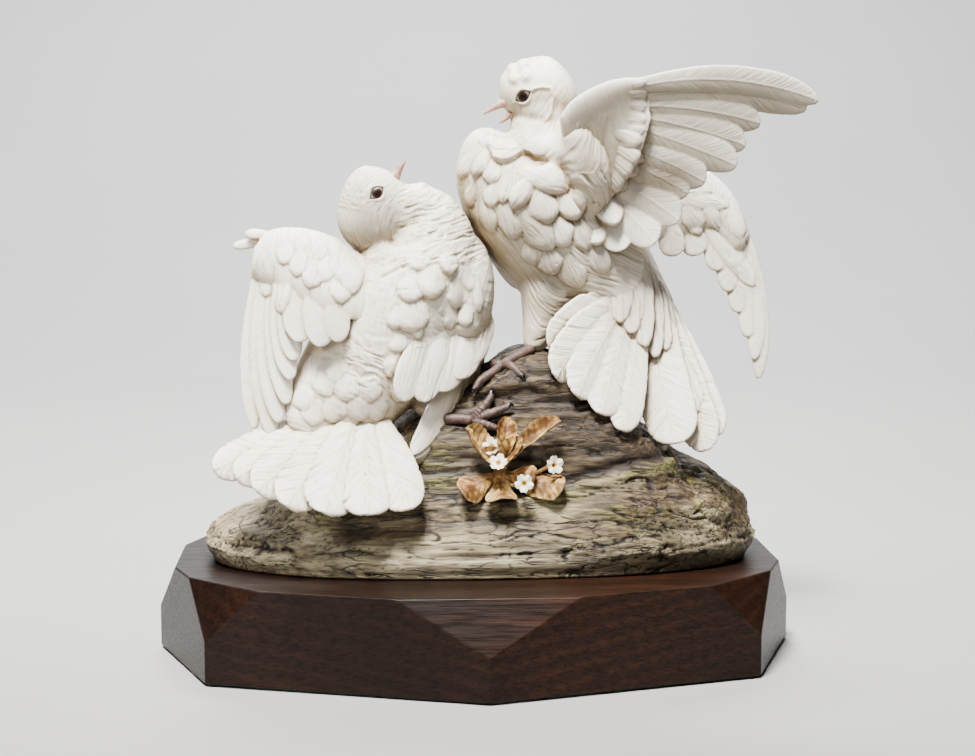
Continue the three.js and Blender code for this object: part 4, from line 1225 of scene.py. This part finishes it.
def tube(stations, around=18, step=0.5, rings=0.0, pitch=1.6):
    """A fine limb whose skin is ringed with scales."""
    limb = Limb(stations)
    points, faces = limb.shell(around, step)
    if rings:
        far, _ = limb.place(points)
        middle = limb.section(np.linspace(0, 1, LIMB_STATIONS))[0]
        axis = middle[((points[:, None] - middle[None]) ** 2).sum(2).argmin(1)]
        points = axis + (points - axis) * (1 + rings * np.sin(2 * np.pi * far / pitch))[:, None]
    return points, faces


LEFT_BALL = [-4, -47, 121]
RIGHT_BALL = [11, -33, 146]
FEET = {
    "left_dove_foot": ([[-18, -43, 121, 2.7], [-11, -45.5, 121.5, 2.3], [*LEFT_BALL, 2.5]], [
        [[*LEFT_BALL, 2.2], [0, -47.5, 126, 2.2], [4, -46, 131, 1.9], [5, -44.5, 134, 1.2]],
        [[*LEFT_BALL, 2.2], [2, -48.5, 123.5, 2.2], [9, -48.5, 126, 2.0], [13.5, -48, 128, 1.3]],
        [[*LEFT_BALL, 2.2], [0, -49, 119.5, 2.2], [5, -50, 118, 1.9], [8, -50, 117, 1.3]],
    ]),
    "right_dove_foot": ([[27, -22, 153, 2.8], [19, -28, 150, 2.3], [*RIGHT_BALL, 2.5]], [
        [[*RIGHT_BALL, 2.2], [14, -38, 146.5, 2.2], [17, -41.5, 144.5, 1.9], [20, -44, 141.5, 1.2]],
        [[*RIGHT_BALL, 2.2], [6, -37.5, 143, 2.2], [0, -41, 139.5, 1.9], [-3.5, -43, 135, 1.2]],
        [[*RIGHT_BALL, 2.2], [7, -28, 146, 2.2], [2, -22, 143.5, 1.9], [-2, -17, 141.5, 1.2]],
    ]),
}


FOOT_VOXEL = 0.28
BEAK_VOXEL = 0.3


def foot(name, shank, toes):
    shells = [tube(shank, rings=0.07)] + [tube(t, rings=0.10) for t in toes]
    claws = []
    for toe in toes:
        a, b = np.array(toe[-2][:3], float), np.array(toe[-1][:3], float)
        ahead = unit(b - a)
        root, tip = b - 1.5 * ahead, b + 2.6 * ahead + np.array([0, 0, -1.6])
        knee = (root + tip) / 2 + np.array([0, 0, 1.0])
        claws.append([root, knee, tip])
        shells.append(tube([[*root, 1.35], [*knee, 1.15], [*tip, 0.35]], 14, 0.4))
    skin = Skin(shells, FOOT_VOXEL).relax(1)
    claw = np.max([-groove(skin.points, path, 1.7, 1.0) for path in claws], axis=0)
    return skin_piece(name, skin, SCALY_SKIN, claw=claw)


def scaly_skin():
    """Painted feet: mauve-brown scales with black claws, and painted shade in the hollows between the rings.
    """
    n = Nodes("painted foot")
    tone = n.ramp(n.noise(260, 3, 0.6), [(0.3, srgb(48, 34, 29)), (0.7, srgb(84, 63, 55))])
    # Painted shade: darker in the hollows between the rings.
    tone = n.blend(n.times(n.value("hollow"), 1.1, True), tone, srgb(34, 23, 21))
    claw = n.range(n.value("claw"), 0.45, 0.62)
    tone = n.blend(claw, tone, srgb(9, 8, 8))
    rough = n.math("SUBTRACT", 0.55, n.times(claw, 0.33))
    return n.set(Base_Color=tone, Roughness=rough, Normal=n.bump(n.noise(1500, 2), 0.00006, 0.5))


SCALY_SKIN = scaly_skin()


def beak(name, parts):
    skin = Skin([tube(s, 24, 0.4) for s in parts], BEAK_VOXEL).relax(3)
    return skin_piece(name, skin, HORN)


def horn():
    """Painted beaks: pinkish horn, with painted shade in the hollows."""
    n = Nodes("painted beak")
    tone = n.ramp(n.noise(300, 3, 0.6), [(0.3, srgb(140, 102, 92)), (0.7, srgb(178, 146, 134))])
    # Painted shade: darker in the hollows.
    tone = n.blend(n.times(n.value("hollow"), 0.9, True), tone, srgb(84, 50, 44))
    return n.set(Base_Color=tone, Roughness=0.42, Normal=n.bump(n.noise(1500, 2), 0.00005, 0.4))


HORN = horn()


LEFT_BEAK = [[[-44.5, -33, 235.5, 4.4, 3.4], [-41.4, -33, 237, 3.2, 2.6], [-39.3, -33, 239.8, 1.9, 1.7],
              [-37.3, -33, 243, 1.05, 1.1], [-35.2, -33, 246.3, 0.45]]]
RIGHT_BEAK = [
    [[17, -11, 274, 3.4, 3.2], [12, -11.5, 272.8, 2.3, 2.2], [7.5, -12, 270.6, 1.4, 1.5],
     [2.6, -12.5, 267.4, 0.5]],
    [[22, -10, 270, 3.2, 3.2], [17, -11, 267.8, 2.0, 2.2], [13.5, -11.5, 265.4, 1.3, 1.6],
     [10.6, -12, 262.8, 0.5]],
]


class Eye:
    """An almond eye set in a head: where its inner and outer corners are seen, and how high it opens."""

    def __init__(self, tree, inner, outer, height):
        self.middle, out = sighted(tree, *((a + b) / 2 for a, b in zip(inner, outer)))
        a, b = sighted(tree, *inner)[0], sighted(tree, *outer)[0]
        self.out = unit(out)
        self.along = unit((b - a) - ((b - a) @ self.out) * self.out)
        self.across = np.cross(self.out, self.along)
        self.half = np.linalg.norm(b - a) / 2
        self.open = height / 2

    def socket(self, points):
        """The height of the lids and the depth of the hole that holds the eye."""
        off = points - self.middle
        u = off @ self.along / self.half
        v = off @ self.across / (self.open * np.maximum(0.12, 1 - u * u) ** 0.7)
        far = np.abs(off @ self.out) > 6
        reach = np.where(far, 9.0, np.sqrt(u * u + v * v))
        return 0.45 * bell(reach - 1.3, 0.25) - 0.9 * smooth(1.15, 0.75, reach)

    def ball(self, name):
        angle = np.linspace(0, 2 * np.pi, 56, endpoint=False)
        reach, angle = np.meshgrid(np.linspace(0.04, 1, 22), angle, indexing="ij")
        u = np.cos(angle)
        v = np.sin(angle) * np.maximum(0, 1 - np.abs(u) ** 2.6) ** 0.35
        u = u * reach * self.half
        v = v * reach * self.open
        lift = 1.0 * np.sqrt(np.maximum(0, 1 - reach ** 2)) - 0.75
        flat = u[..., None] * self.along + v[..., None] * self.across
        front = self.middle + flat + lift[..., None] * self.out
        back = self.middle + flat * 0.9 - 1.6 * self.out
        mesh = mesh_of(name, *loft(np.concatenate([front, back[::-1]])))
        iris = np.linalg.norm((u, v), axis=0) / self.open
        behind = np.full(reach.size, 2.0)
        add_values(mesh, "iris", np.concatenate([iris.ravel(), behind, [0.0, 2.0]]))
        add_values(mesh, "lid", np.concatenate([reach.ravel(), behind / 2, [0.0, 1.0]]))
        return dressed(name, mesh, EYE_PAINT)


def eye_paint():
    """Painted eyes under a clear glaze: a black pupil, a brown iris, a grey ring and a dark lid."""
    n = Nodes("painted eye")
    tone = n.ramp(n.value("iris"), [
        (0.0, srgb(8, 6, 6)), (0.42, srgb(10, 7, 7)), (0.54, srgb(30, 15, 12)), (0.74, srgb(42, 24, 19)),
        (0.80, srgb(24, 16, 14)), (0.98, srgb(108, 98, 86))])
    tone = n.blend(n.range(n.value("lid"), 0.70, 0.84), tone, srgb(30, 20, 16))
    return n.set(Base_Color=tone, Roughness=0.3, Specular_IOR_Level=0.2)


EYE_PAINT = eye_paint()


# Primroses

CLUMP = np.array([8.0, -56.0, 97.0])
# Leaves: where the tip is, half width, the side that shows, how far it arches, and how far its edges
# fold down, or up where it is negative.
LEAVES = [
    (facing(-5.3, 111, -58), 5.8, (0.75, -0.6, 0.3), -2.0, -1.1),
    (facing(15.2, 116.5, -54), 5.0, (0.1, -0.95, 0.3), 3.0, -1.2),
    (facing(43, 114.5, -56), 5.0, (-0.5, -0.7, 0.5), 3.0, -1.1),
    (facing(-8, 79, -67), 7.0, (0.2, -0.75, 0.65), -3.0, 0.4),
    (facing(13.2, 74.5, -71), 7.5, (0, -0.85, 0.5), -3.0, 0.3),
    (facing(45, 81.5, -66), 7.5, (-0.1, -0.75, 0.65), -3.5, 0.4),
    (facing(23, 106, -60), 4.6, (-0.2, -0.9, 0.4), 2.5, -1.1),
    (facing(30, 88, -64), 5.5, (0, -0.75, 0.65), -2.0, 0.4),
    (facing(2, 100, -62), 4.5, (0.3, -0.85, 0.4), 1.5, -0.9),
]
VEIN_SPACING = 3.4
# Blossoms: where each is, and which way it faces.
BLOSSOMS = [
    ((4, -60, 110), (-0.35, -0.85, 0.45)), ((7, -65, 103), (-0.2, -0.75, 0.65)),
    ((19, -69, 93.5), (-0.1, -0.97, 0.25)), ((34, -62, 101), (0.3, -0.92, 0.2)),
    ((19, -55, 112), (0.1, -0.55, 0.8)),
]
BLOSSOM_RADIUS = 4.7


def leaf_shell(tip, half, up, camber, fold, seed):
    """A crinkled leaf from the clump, with how far each point is on a vein and on the rim."""
    root, tip, up = CLUMP, np.asarray(tip, float), unit(up)
    span = tip - root
    length = np.linalg.norm(span)
    side = unit(np.cross(span, up))
    rise = unit(np.cross(side, span))
    s = np.linspace(0, 0.995, 56)
    c = np.sin(np.linspace(-np.pi / 2, np.pi / 2, 33))
    ragged = 1 + 0.10 * noise2(s * length / 2.2, 0.2, seed) + 0.10 * noise2(s * length / 6, 0.9, seed + 1)
    rounded = np.sqrt(np.maximum(0, 1 - clamp((s - 0.72) / 0.28) ** 2.4))
    width = half * mix(0.16, 1, smooth(0, 0.75, s)) * rounded * ragged
    v = width[:, None] * c
    curl = 4 * s * (1 - s)
    middle = root + s[:, None] * span + (camber * curl)[:, None] * rise
    bend = -fold * width[:, None] * np.abs(c) ** 1.6
    phase = (s[:, None] * length - 0.9 * np.abs(v)) / VEIN_SPACING
    veins = bell((phase - np.round(phase)) * VEIN_SPACING, 0.55) * smooth(0.3, 1.2, np.abs(v))
    rib = bell(v, 0.6)
    crinkle = 0.8 * noise2(s[:, None] * length / 2.6, v / 2.6 + 7, seed + 3)
    crinkle = crinkle + 1.8 * noise2(s[:, None] * length / 6.5, v / 6 + 3, seed + 4) * np.abs(c)
    lift = bend + crinkle * smooth(0, 0.2, s)[:, None] - 0.25 * veins - 0.3 * rib
    half_thick = 0.45 * np.sqrt(np.maximum(0.02, 1 - c ** 2)) ** 0.6
    high = joined(lift + half_thick, lift - half_thick)
    shell = loft(middle[:, None] + joined(v, v)[..., None] * side + high[..., None] * rise)
    mark = np.maximum(veins, rib)
    rim = np.maximum(np.abs(c), s[:, None] ** 3)
    return *shell, [*joined(mark, mark).ravel(), 0, 0], [*joined(rim, rim).ravel(), 0, 1]


def primrose_leaves():
    shells, veins, rims = [], [], []
    for i, (tip, half, up, camber, fold) in enumerate(LEAVES):
        points, faces, vein, rim = leaf_shell(tip, half, up, camber, fold, 60 + 7 * i)
        shells.append((points, faces))
        veins += vein
        rims += rim
    stems = [tube([[*(CLUMP + (0, 6, -6)), 4.5], [*CLUMP, 2.6], [*(CLUMP + (1, -1, 4)), 1.2]], 20, 0.8)]
    for place, face in BLOSSOMS:
        bend = (CLUMP + place) / 2 + (0, 5, -4)
        top = np.array(place) - 3.2 * unit(face)
        stems.append(tube([[*CLUMP, 1.2], [*bend, 0.9], [*top, 1.0]], 12, 0.7))
    for points, _ in stems:
        veins += [0.0] * len(points)
        rims += [0.3] * len(points)
    mesh = mesh_of("primrose_leaves", *merged(shells + stems))
    add_values(mesh, "vein", veins)
    add_values(mesh, "rim", rims)
    dressed("primrose_leaves", mesh, dry_leaf())


def dry_leaf():
    """Painted leaves: ochre and tan with brown veins and blotches and paler rims."""
    n = Nodes("painted leaf")
    wash = n.noise(130, 4, 0.6)
    tone = n.ramp(wash, [(0.40, srgb(92, 62, 28)), (0.5, srgb(148, 110, 56)), (0.60, srgb(198, 162, 96))])
    tone = n.blend(n.times(n.range(n.value("rim"), 0.75, 1.0), 0.45), tone, srgb(196, 164, 104))
    tone = n.blend(n.times(n.value("vein"), 0.8), tone, srgb(64, 38, 20))
    tone = n.blend(n.range(n.noise(320, 3), 0.56, 0.68, 0.0, 0.5), tone, srgb(62, 38, 22))
    return n.set(Base_Color=tone, Roughness=0.6, Specular_IOR_Level=0.3, Normal=n.bump(wash, 0.0003, 0.5))


def blossom_shell(place, face, radius, turn):
    """Five notched petals cupped round a short tube, with each point's place out from the heart."""
    out = unit(face)
    side = unit(np.cross(out, [0.0, 0.0, 1.0]))
    across = np.cross(out, side)
    angle = np.linspace(0, 2 * np.pi, 90, endpoint=False)
    petal = np.abs(np.cos(2.5 * (angle + turn)))
    edge = 0.62 + 0.38 * petal ** 0.6 - 0.10 * bell(petal - 1, 0.05)
    r = np.concatenate([np.linspace(0.05, 1, 18), np.linspace(0.97, 0.12, 12)])
    back = np.concatenate([np.zeros(18), np.ones(12)])[:, None]
    rr, aa = np.meshgrid(r, angle, indexing="ij")
    wave = np.cos(5 * (aa + turn))
    reach = rr * mix(0.75, edge[None], smooth(0.25, 0.9, rr)) * radius
    dome = -3.4 * (1 - smooth(0.0, 0.42, rr)) + 1.5 * (rr - 0.42) * (0.75 + 0.25 * wave)
    high = dome + 0.35 * wave * rr ** 2 - 0.5 * back * smooth(0.0, 0.2, 1 - rr)
    flat = (reach * np.cos(aa))[..., None] * side + (reach * np.sin(aa))[..., None] * across
    shell = loft(np.asarray(place, float) + flat + high[..., None] * out)
    heart = np.where(back > 0, 1.0, rr)
    anthers = bell(rr - 0.30, 0.05) * (np.cos(5 * aa + 1.0) > 0.55) * (back == 0)
    return *shell, [*heart.ravel(), 0.0, 1.0], [*anthers.ravel(), 0, 0]


def primrose_blossoms():
    shells, hearts, dots = [], [], []
    for i, (place, face) in enumerate(BLOSSOMS):
        points, faces, heart, dot = blossom_shell(place, face, BLOSSOM_RADIUS, 0.5 * i)
        shells.append((points, faces))
        hearts += heart
        dots += dot
    mesh = mesh_of("primrose_blossoms", *merged(shells))
    add_values(mesh, "heart", hearts)
    add_values(mesh, "dot", dots)
    dressed("primrose_blossoms", mesh, petal())


def petal():
    """Painted blossoms: cream-white petals round a yellow heart with dark anthers."""
    n = Nodes("painted petal")
    tone = n.ramp(n.value("heart"), [
        (0.0, srgb(150, 120, 40)), (0.22, srgb(214, 180, 74)), (0.42, srgb(226, 212, 160)),
        (0.6, srgb(226, 221, 204))])
    tone = n.blend(n.range(n.noise(260, 3), 0.4, 0.75, 0.0, 0.35), tone, srgb(220, 208, 178))
    tone = n.blend(n.value("dot"), tone, srgb(70, 50, 30))
    return n.set(Base_Color=tone, Roughness=0.5, Normal=n.bump(n.noise(800, 2), 0.00008, 0.4))


# Plinth and felt

# How far in front of and below the origin the walnut's pith runs, in metres, and its rings in a metre.
PITH = {"Y": 0.03, "Z": 0.11}
RINGS_PER_METRE = 150.0


def walnut():
    """Oiled walnut with its grain along the plinth, growth rings and pores."""
    n = Nodes("walnut")
    fibres = n.noise(55, 6, 0.62, n.place((0.9, 14, 14)))
    pores = n.noise(60, 2, 0.5, n.place((0.8, 34, 34)))
    drift = n.noise(5, 3, 0.55, n.place((0.6, 1, 1)))
    squares = []
    for axis, away in PITH.items():
        off = n.math("ADD", n.node("SeparateXYZ", axis, {0: n.place()}), away)
        squares.append(n.times(off, off))
    radius = n.math("SQRT", n.math("ADD", *squares))
    rings = n.math("ADD", n.times(radius, RINGS_PER_METRE), n.times(drift, 3.0))
    band = n.math("ABSOLUTE", n.math("SINE", n.times(rings, math.pi)))
    tone = n.ramp(drift, [(0.35, srgb(16, 9, 6)), (0.52, srgb(27, 15, 10)), (0.68, srgb(44, 25, 15))])
    tone = n.blend(n.times(band, 0.5), tone, srgb(14, 8, 6))
    streaks = [(0.36, (0.4, 0.36, 0.32)), (0.52, (1, 1, 1)), (0.68, (1.4, 1.26, 1.1))]
    tone = n.tint(tone, n.ramp(fibres, streaks))
    tone = n.blend(n.range(pores, 0.56, 0.66, 0.0, 0.75), tone, srgb(12, 7, 5))
    return n.set(
        Base_Color=tone,
        Roughness=n.range(fibres, 0.3, 0.7, 0.3, 0.46),
        Specular_IOR_Level=0.12,
        Coat_Weight=0.03,
        Coat_Roughness=0.3,
        Normal=n.bump(pores, 0.00012, 0.5, n.bump(fibres, 0.0001, 0.4)),
    )


def felt():
    """Dark green felt with a short nap."""
    n = Nodes("green felt")
    nap = n.noise(900, 4, 0.7)
    tone = n.ramp(nap, [(0.3, srgb(16, 24, 18)), (0.7, srgb(38, 54, 40))])
    return n.set(Base_Color=tone, Roughness=0.95, Sheen_Weight=0.35, Normal=n.bump(nap, 0.0004, 0.8))


def plinth():
    for name, material in (("walnut_plinth", walnut()), ("felt_pad", felt())):
        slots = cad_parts[name].data.materials
        slots.clear()
        slots.append(material)
    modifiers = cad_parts["walnut_plinth"].modifiers
    weld = modifiers.new("joined corners", "WELD")
    weld.merge_threshold = 0.00001
    edges = modifiers.new("rubbed edges", "BEVEL")
    edges.width = 0.0008
    edges.segments = 3
    edges.limit_method = "ANGLE"
    edges.angle_limit = math.radians(12)
    edges.harden_normals = True


# Patches of painted shade on the bisque, darker and warmer: x and z as seen, how far it reaches each way, and
# how strong it is.
LEFT_SHADE_PATCHES = [
    (-54, 216, 16, 20, 0.8), (-38, 222, 12, 8, 0.45), (-76, 152, 12, 14, 0.35), (-56, 122, 22, 6, 0.45),
    (2, 170, 7, 30, 0.35),
]
RIGHT_SHADE_PATCHES = [
    (30, 212, 18, 20, 0.6), (56, 246, 12, 18, 0.9), (66, 206, 20, 18, 0.75), (36, 182, 12, 26, 0.75),
    (28, 270, 14, 7, 0.6), (-2, 238, 8, 20, 0.35),
]
NEAR_WING_SHADE_PATCHES = [(95, 236, 20, 14, 1.0), (62, 246, 18, 24, 0.95), (110, 262, 60, 26, 0.45)]
TAIL_SHADE_PATCHES = [(80, 182, 20, 26, 0.7)]


def porcelain(name, skin, grain, shade_patches=LEFT_SHADE_PATCHES):
    """A skin as a piece of bisque, with its grain and its patches of painted shade on its vertices."""
    x, z = seen(skin.points)
    # Each point's share of the painted shade, from the patches.
    wash = np.zeros(len(x))
    for middle_x, middle_z, reach_x, reach_z, strength in shade_patches:
        away = np.hypot((x - middle_x) / reach_x, (z - middle_z) / reach_z)
        wash = np.maximum(wash, strength * bell(away, 1.0))
    skin_piece(name, skin, BISQUE, across=grain[:, 0], along=grain[:, 1], wash=wash)


body, grain, eye = left_body()
porcelain("left_dove_body", body, grain)
eye.ball("left_dove_eye")
porcelain("left_dove_open_wing", *left_open_wing())
porcelain("left_dove_folded_wing", *left_folded_wing())
porcelain("left_dove_tail", *left_tail())
beak("left_dove_beak", LEFT_BEAK)
body, grain, eye = right_body()
porcelain("right_dove_body", body, grain, RIGHT_SHADE_PATCHES)
eye.ball("right_dove_eye")
porcelain("right_dove_near_wing", *right_near_wing(), NEAR_WING_SHADE_PATCHES)
porcelain("right_dove_far_wing", *right_far_wing(), [])
porcelain("right_dove_tail", *right_tail(), TAIL_SHADE_PATCHES)
beak("right_dove_beak", RIGHT_BEAK)
for name, (shank, toes) in FEET.items():
    foot(name, shank, toes)
skin, marks = log_skin()
skin_piece("log", skin, painted_bark(), **marks)
primrose_leaves()
primrose_blossoms()
plinth()


# Camera, floor and light

def aimed(holder, place, direction):
    """Puts a camera or lamp in its place, looking along a direction."""
    holder.location = place
    holder.rotation_euler = direction.to_track_quat("-Z", "Y").to_euler()


def camera():
    data = bpy.data.cameras.new("view")
    data.lens = LENS
    data.sensor_width = 36
    data.clip_start = 0.01
    holder = linked("view", data)
    level = math.cos(LOOK_DOWN)
    aim = Vector((math.sin(LOOK_YAW) * level, math.cos(LOOK_YAW) * level, -math.sin(LOOK_DOWN)))
    aimed(holder, EYE * MM, aim)
    bpy.context.scene.camera = holder


# The floor, in metres: its half width, its front edge, the radius of its sweep up, and the top of the wall.
FLOOR_HALF_WIDTH = 6.0
FLOOR_FRONT = -4.0
SWEEP = 1.2
WALL_TOP = 5.0


def floor():
    """A pale floor that sweeps up into a pale wall behind."""
    turn = np.linspace(0.1, np.pi / 2, 14)
    depth = [*np.linspace(FLOOR_FRONT, SWEEP, 12), *(SWEEP + SWEEP * np.sin(turn)), 2 * SWEEP]
    height = [*np.zeros(12), *(SWEEP - SWEEP * np.cos(turn)), WALL_TOP]
    left = [(-FLOOR_HALF_WIDTH, d, h) for d, h in zip(depth, height)]
    right = [(FLOOR_HALF_WIDTH, d, h) for d, h in zip(depth, height)]
    count = len(left)
    mesh = bpy.data.meshes.new("floor")
    mesh.from_pydata(left + right, [], [(i, count + i, count + i + 1, i + 1) for i in range(count - 1)])
    mesh.polygons.foreach_set("use_smooth", np.ones(count - 1, bool))
    n = Nodes("pale floor")
    tone = n.ramp(n.noise(3, 2), [(0.3, (0.315, 0.315, 0.315)), (0.7, (0.33, 0.33, 0.33))])
    mesh.materials.append(n.set(Base_Color=tone, Roughness=0.7, Specular_IOR_Level=0.2))
    linked("floor", mesh)


WARM = (1.0, 0.97, 0.92)
WHITE = (1.0, 1.0, 1.0)


def lamp(name, place, target, size, power, tint, spread):
    """A round soft lamp: metres, watts and degrees."""
    data = bpy.data.lights.new(name, "AREA")
    data.shape = "DISK"
    data.size = size
    data.energy = power
    data.color = tint
    data.spread = math.radians(spread)
    aimed(linked(name, data), place, Vector(target) - Vector(place))


def light():
    world = bpy.data.worlds.new("white studio")
    world.use_nodes = True
    background = world.node_tree.nodes["Background"]
    background.inputs["Color"].default_value = (*WHITE, 1)
    background.inputs["Strength"].default_value = 0.03
    bpy.context.scene.world = world
    lamp("key", (-0.25, -0.62, 1.66), (0, 0.5, 0.1), size=0.5, power=44, tint=WARM, spread=80)
    lamp("fill", (-0.75, -1.4, 0.55), (-0.11, -0.04, 0.14), size=0.25, power=0.2, tint=WARM, spread=14)
    lamp("back", (0.0, 1.5, 2.4), (0, 2.3, 0.9), size=1.2, power=220, tint=WHITE, spread=180)


camera()
floor()
light()
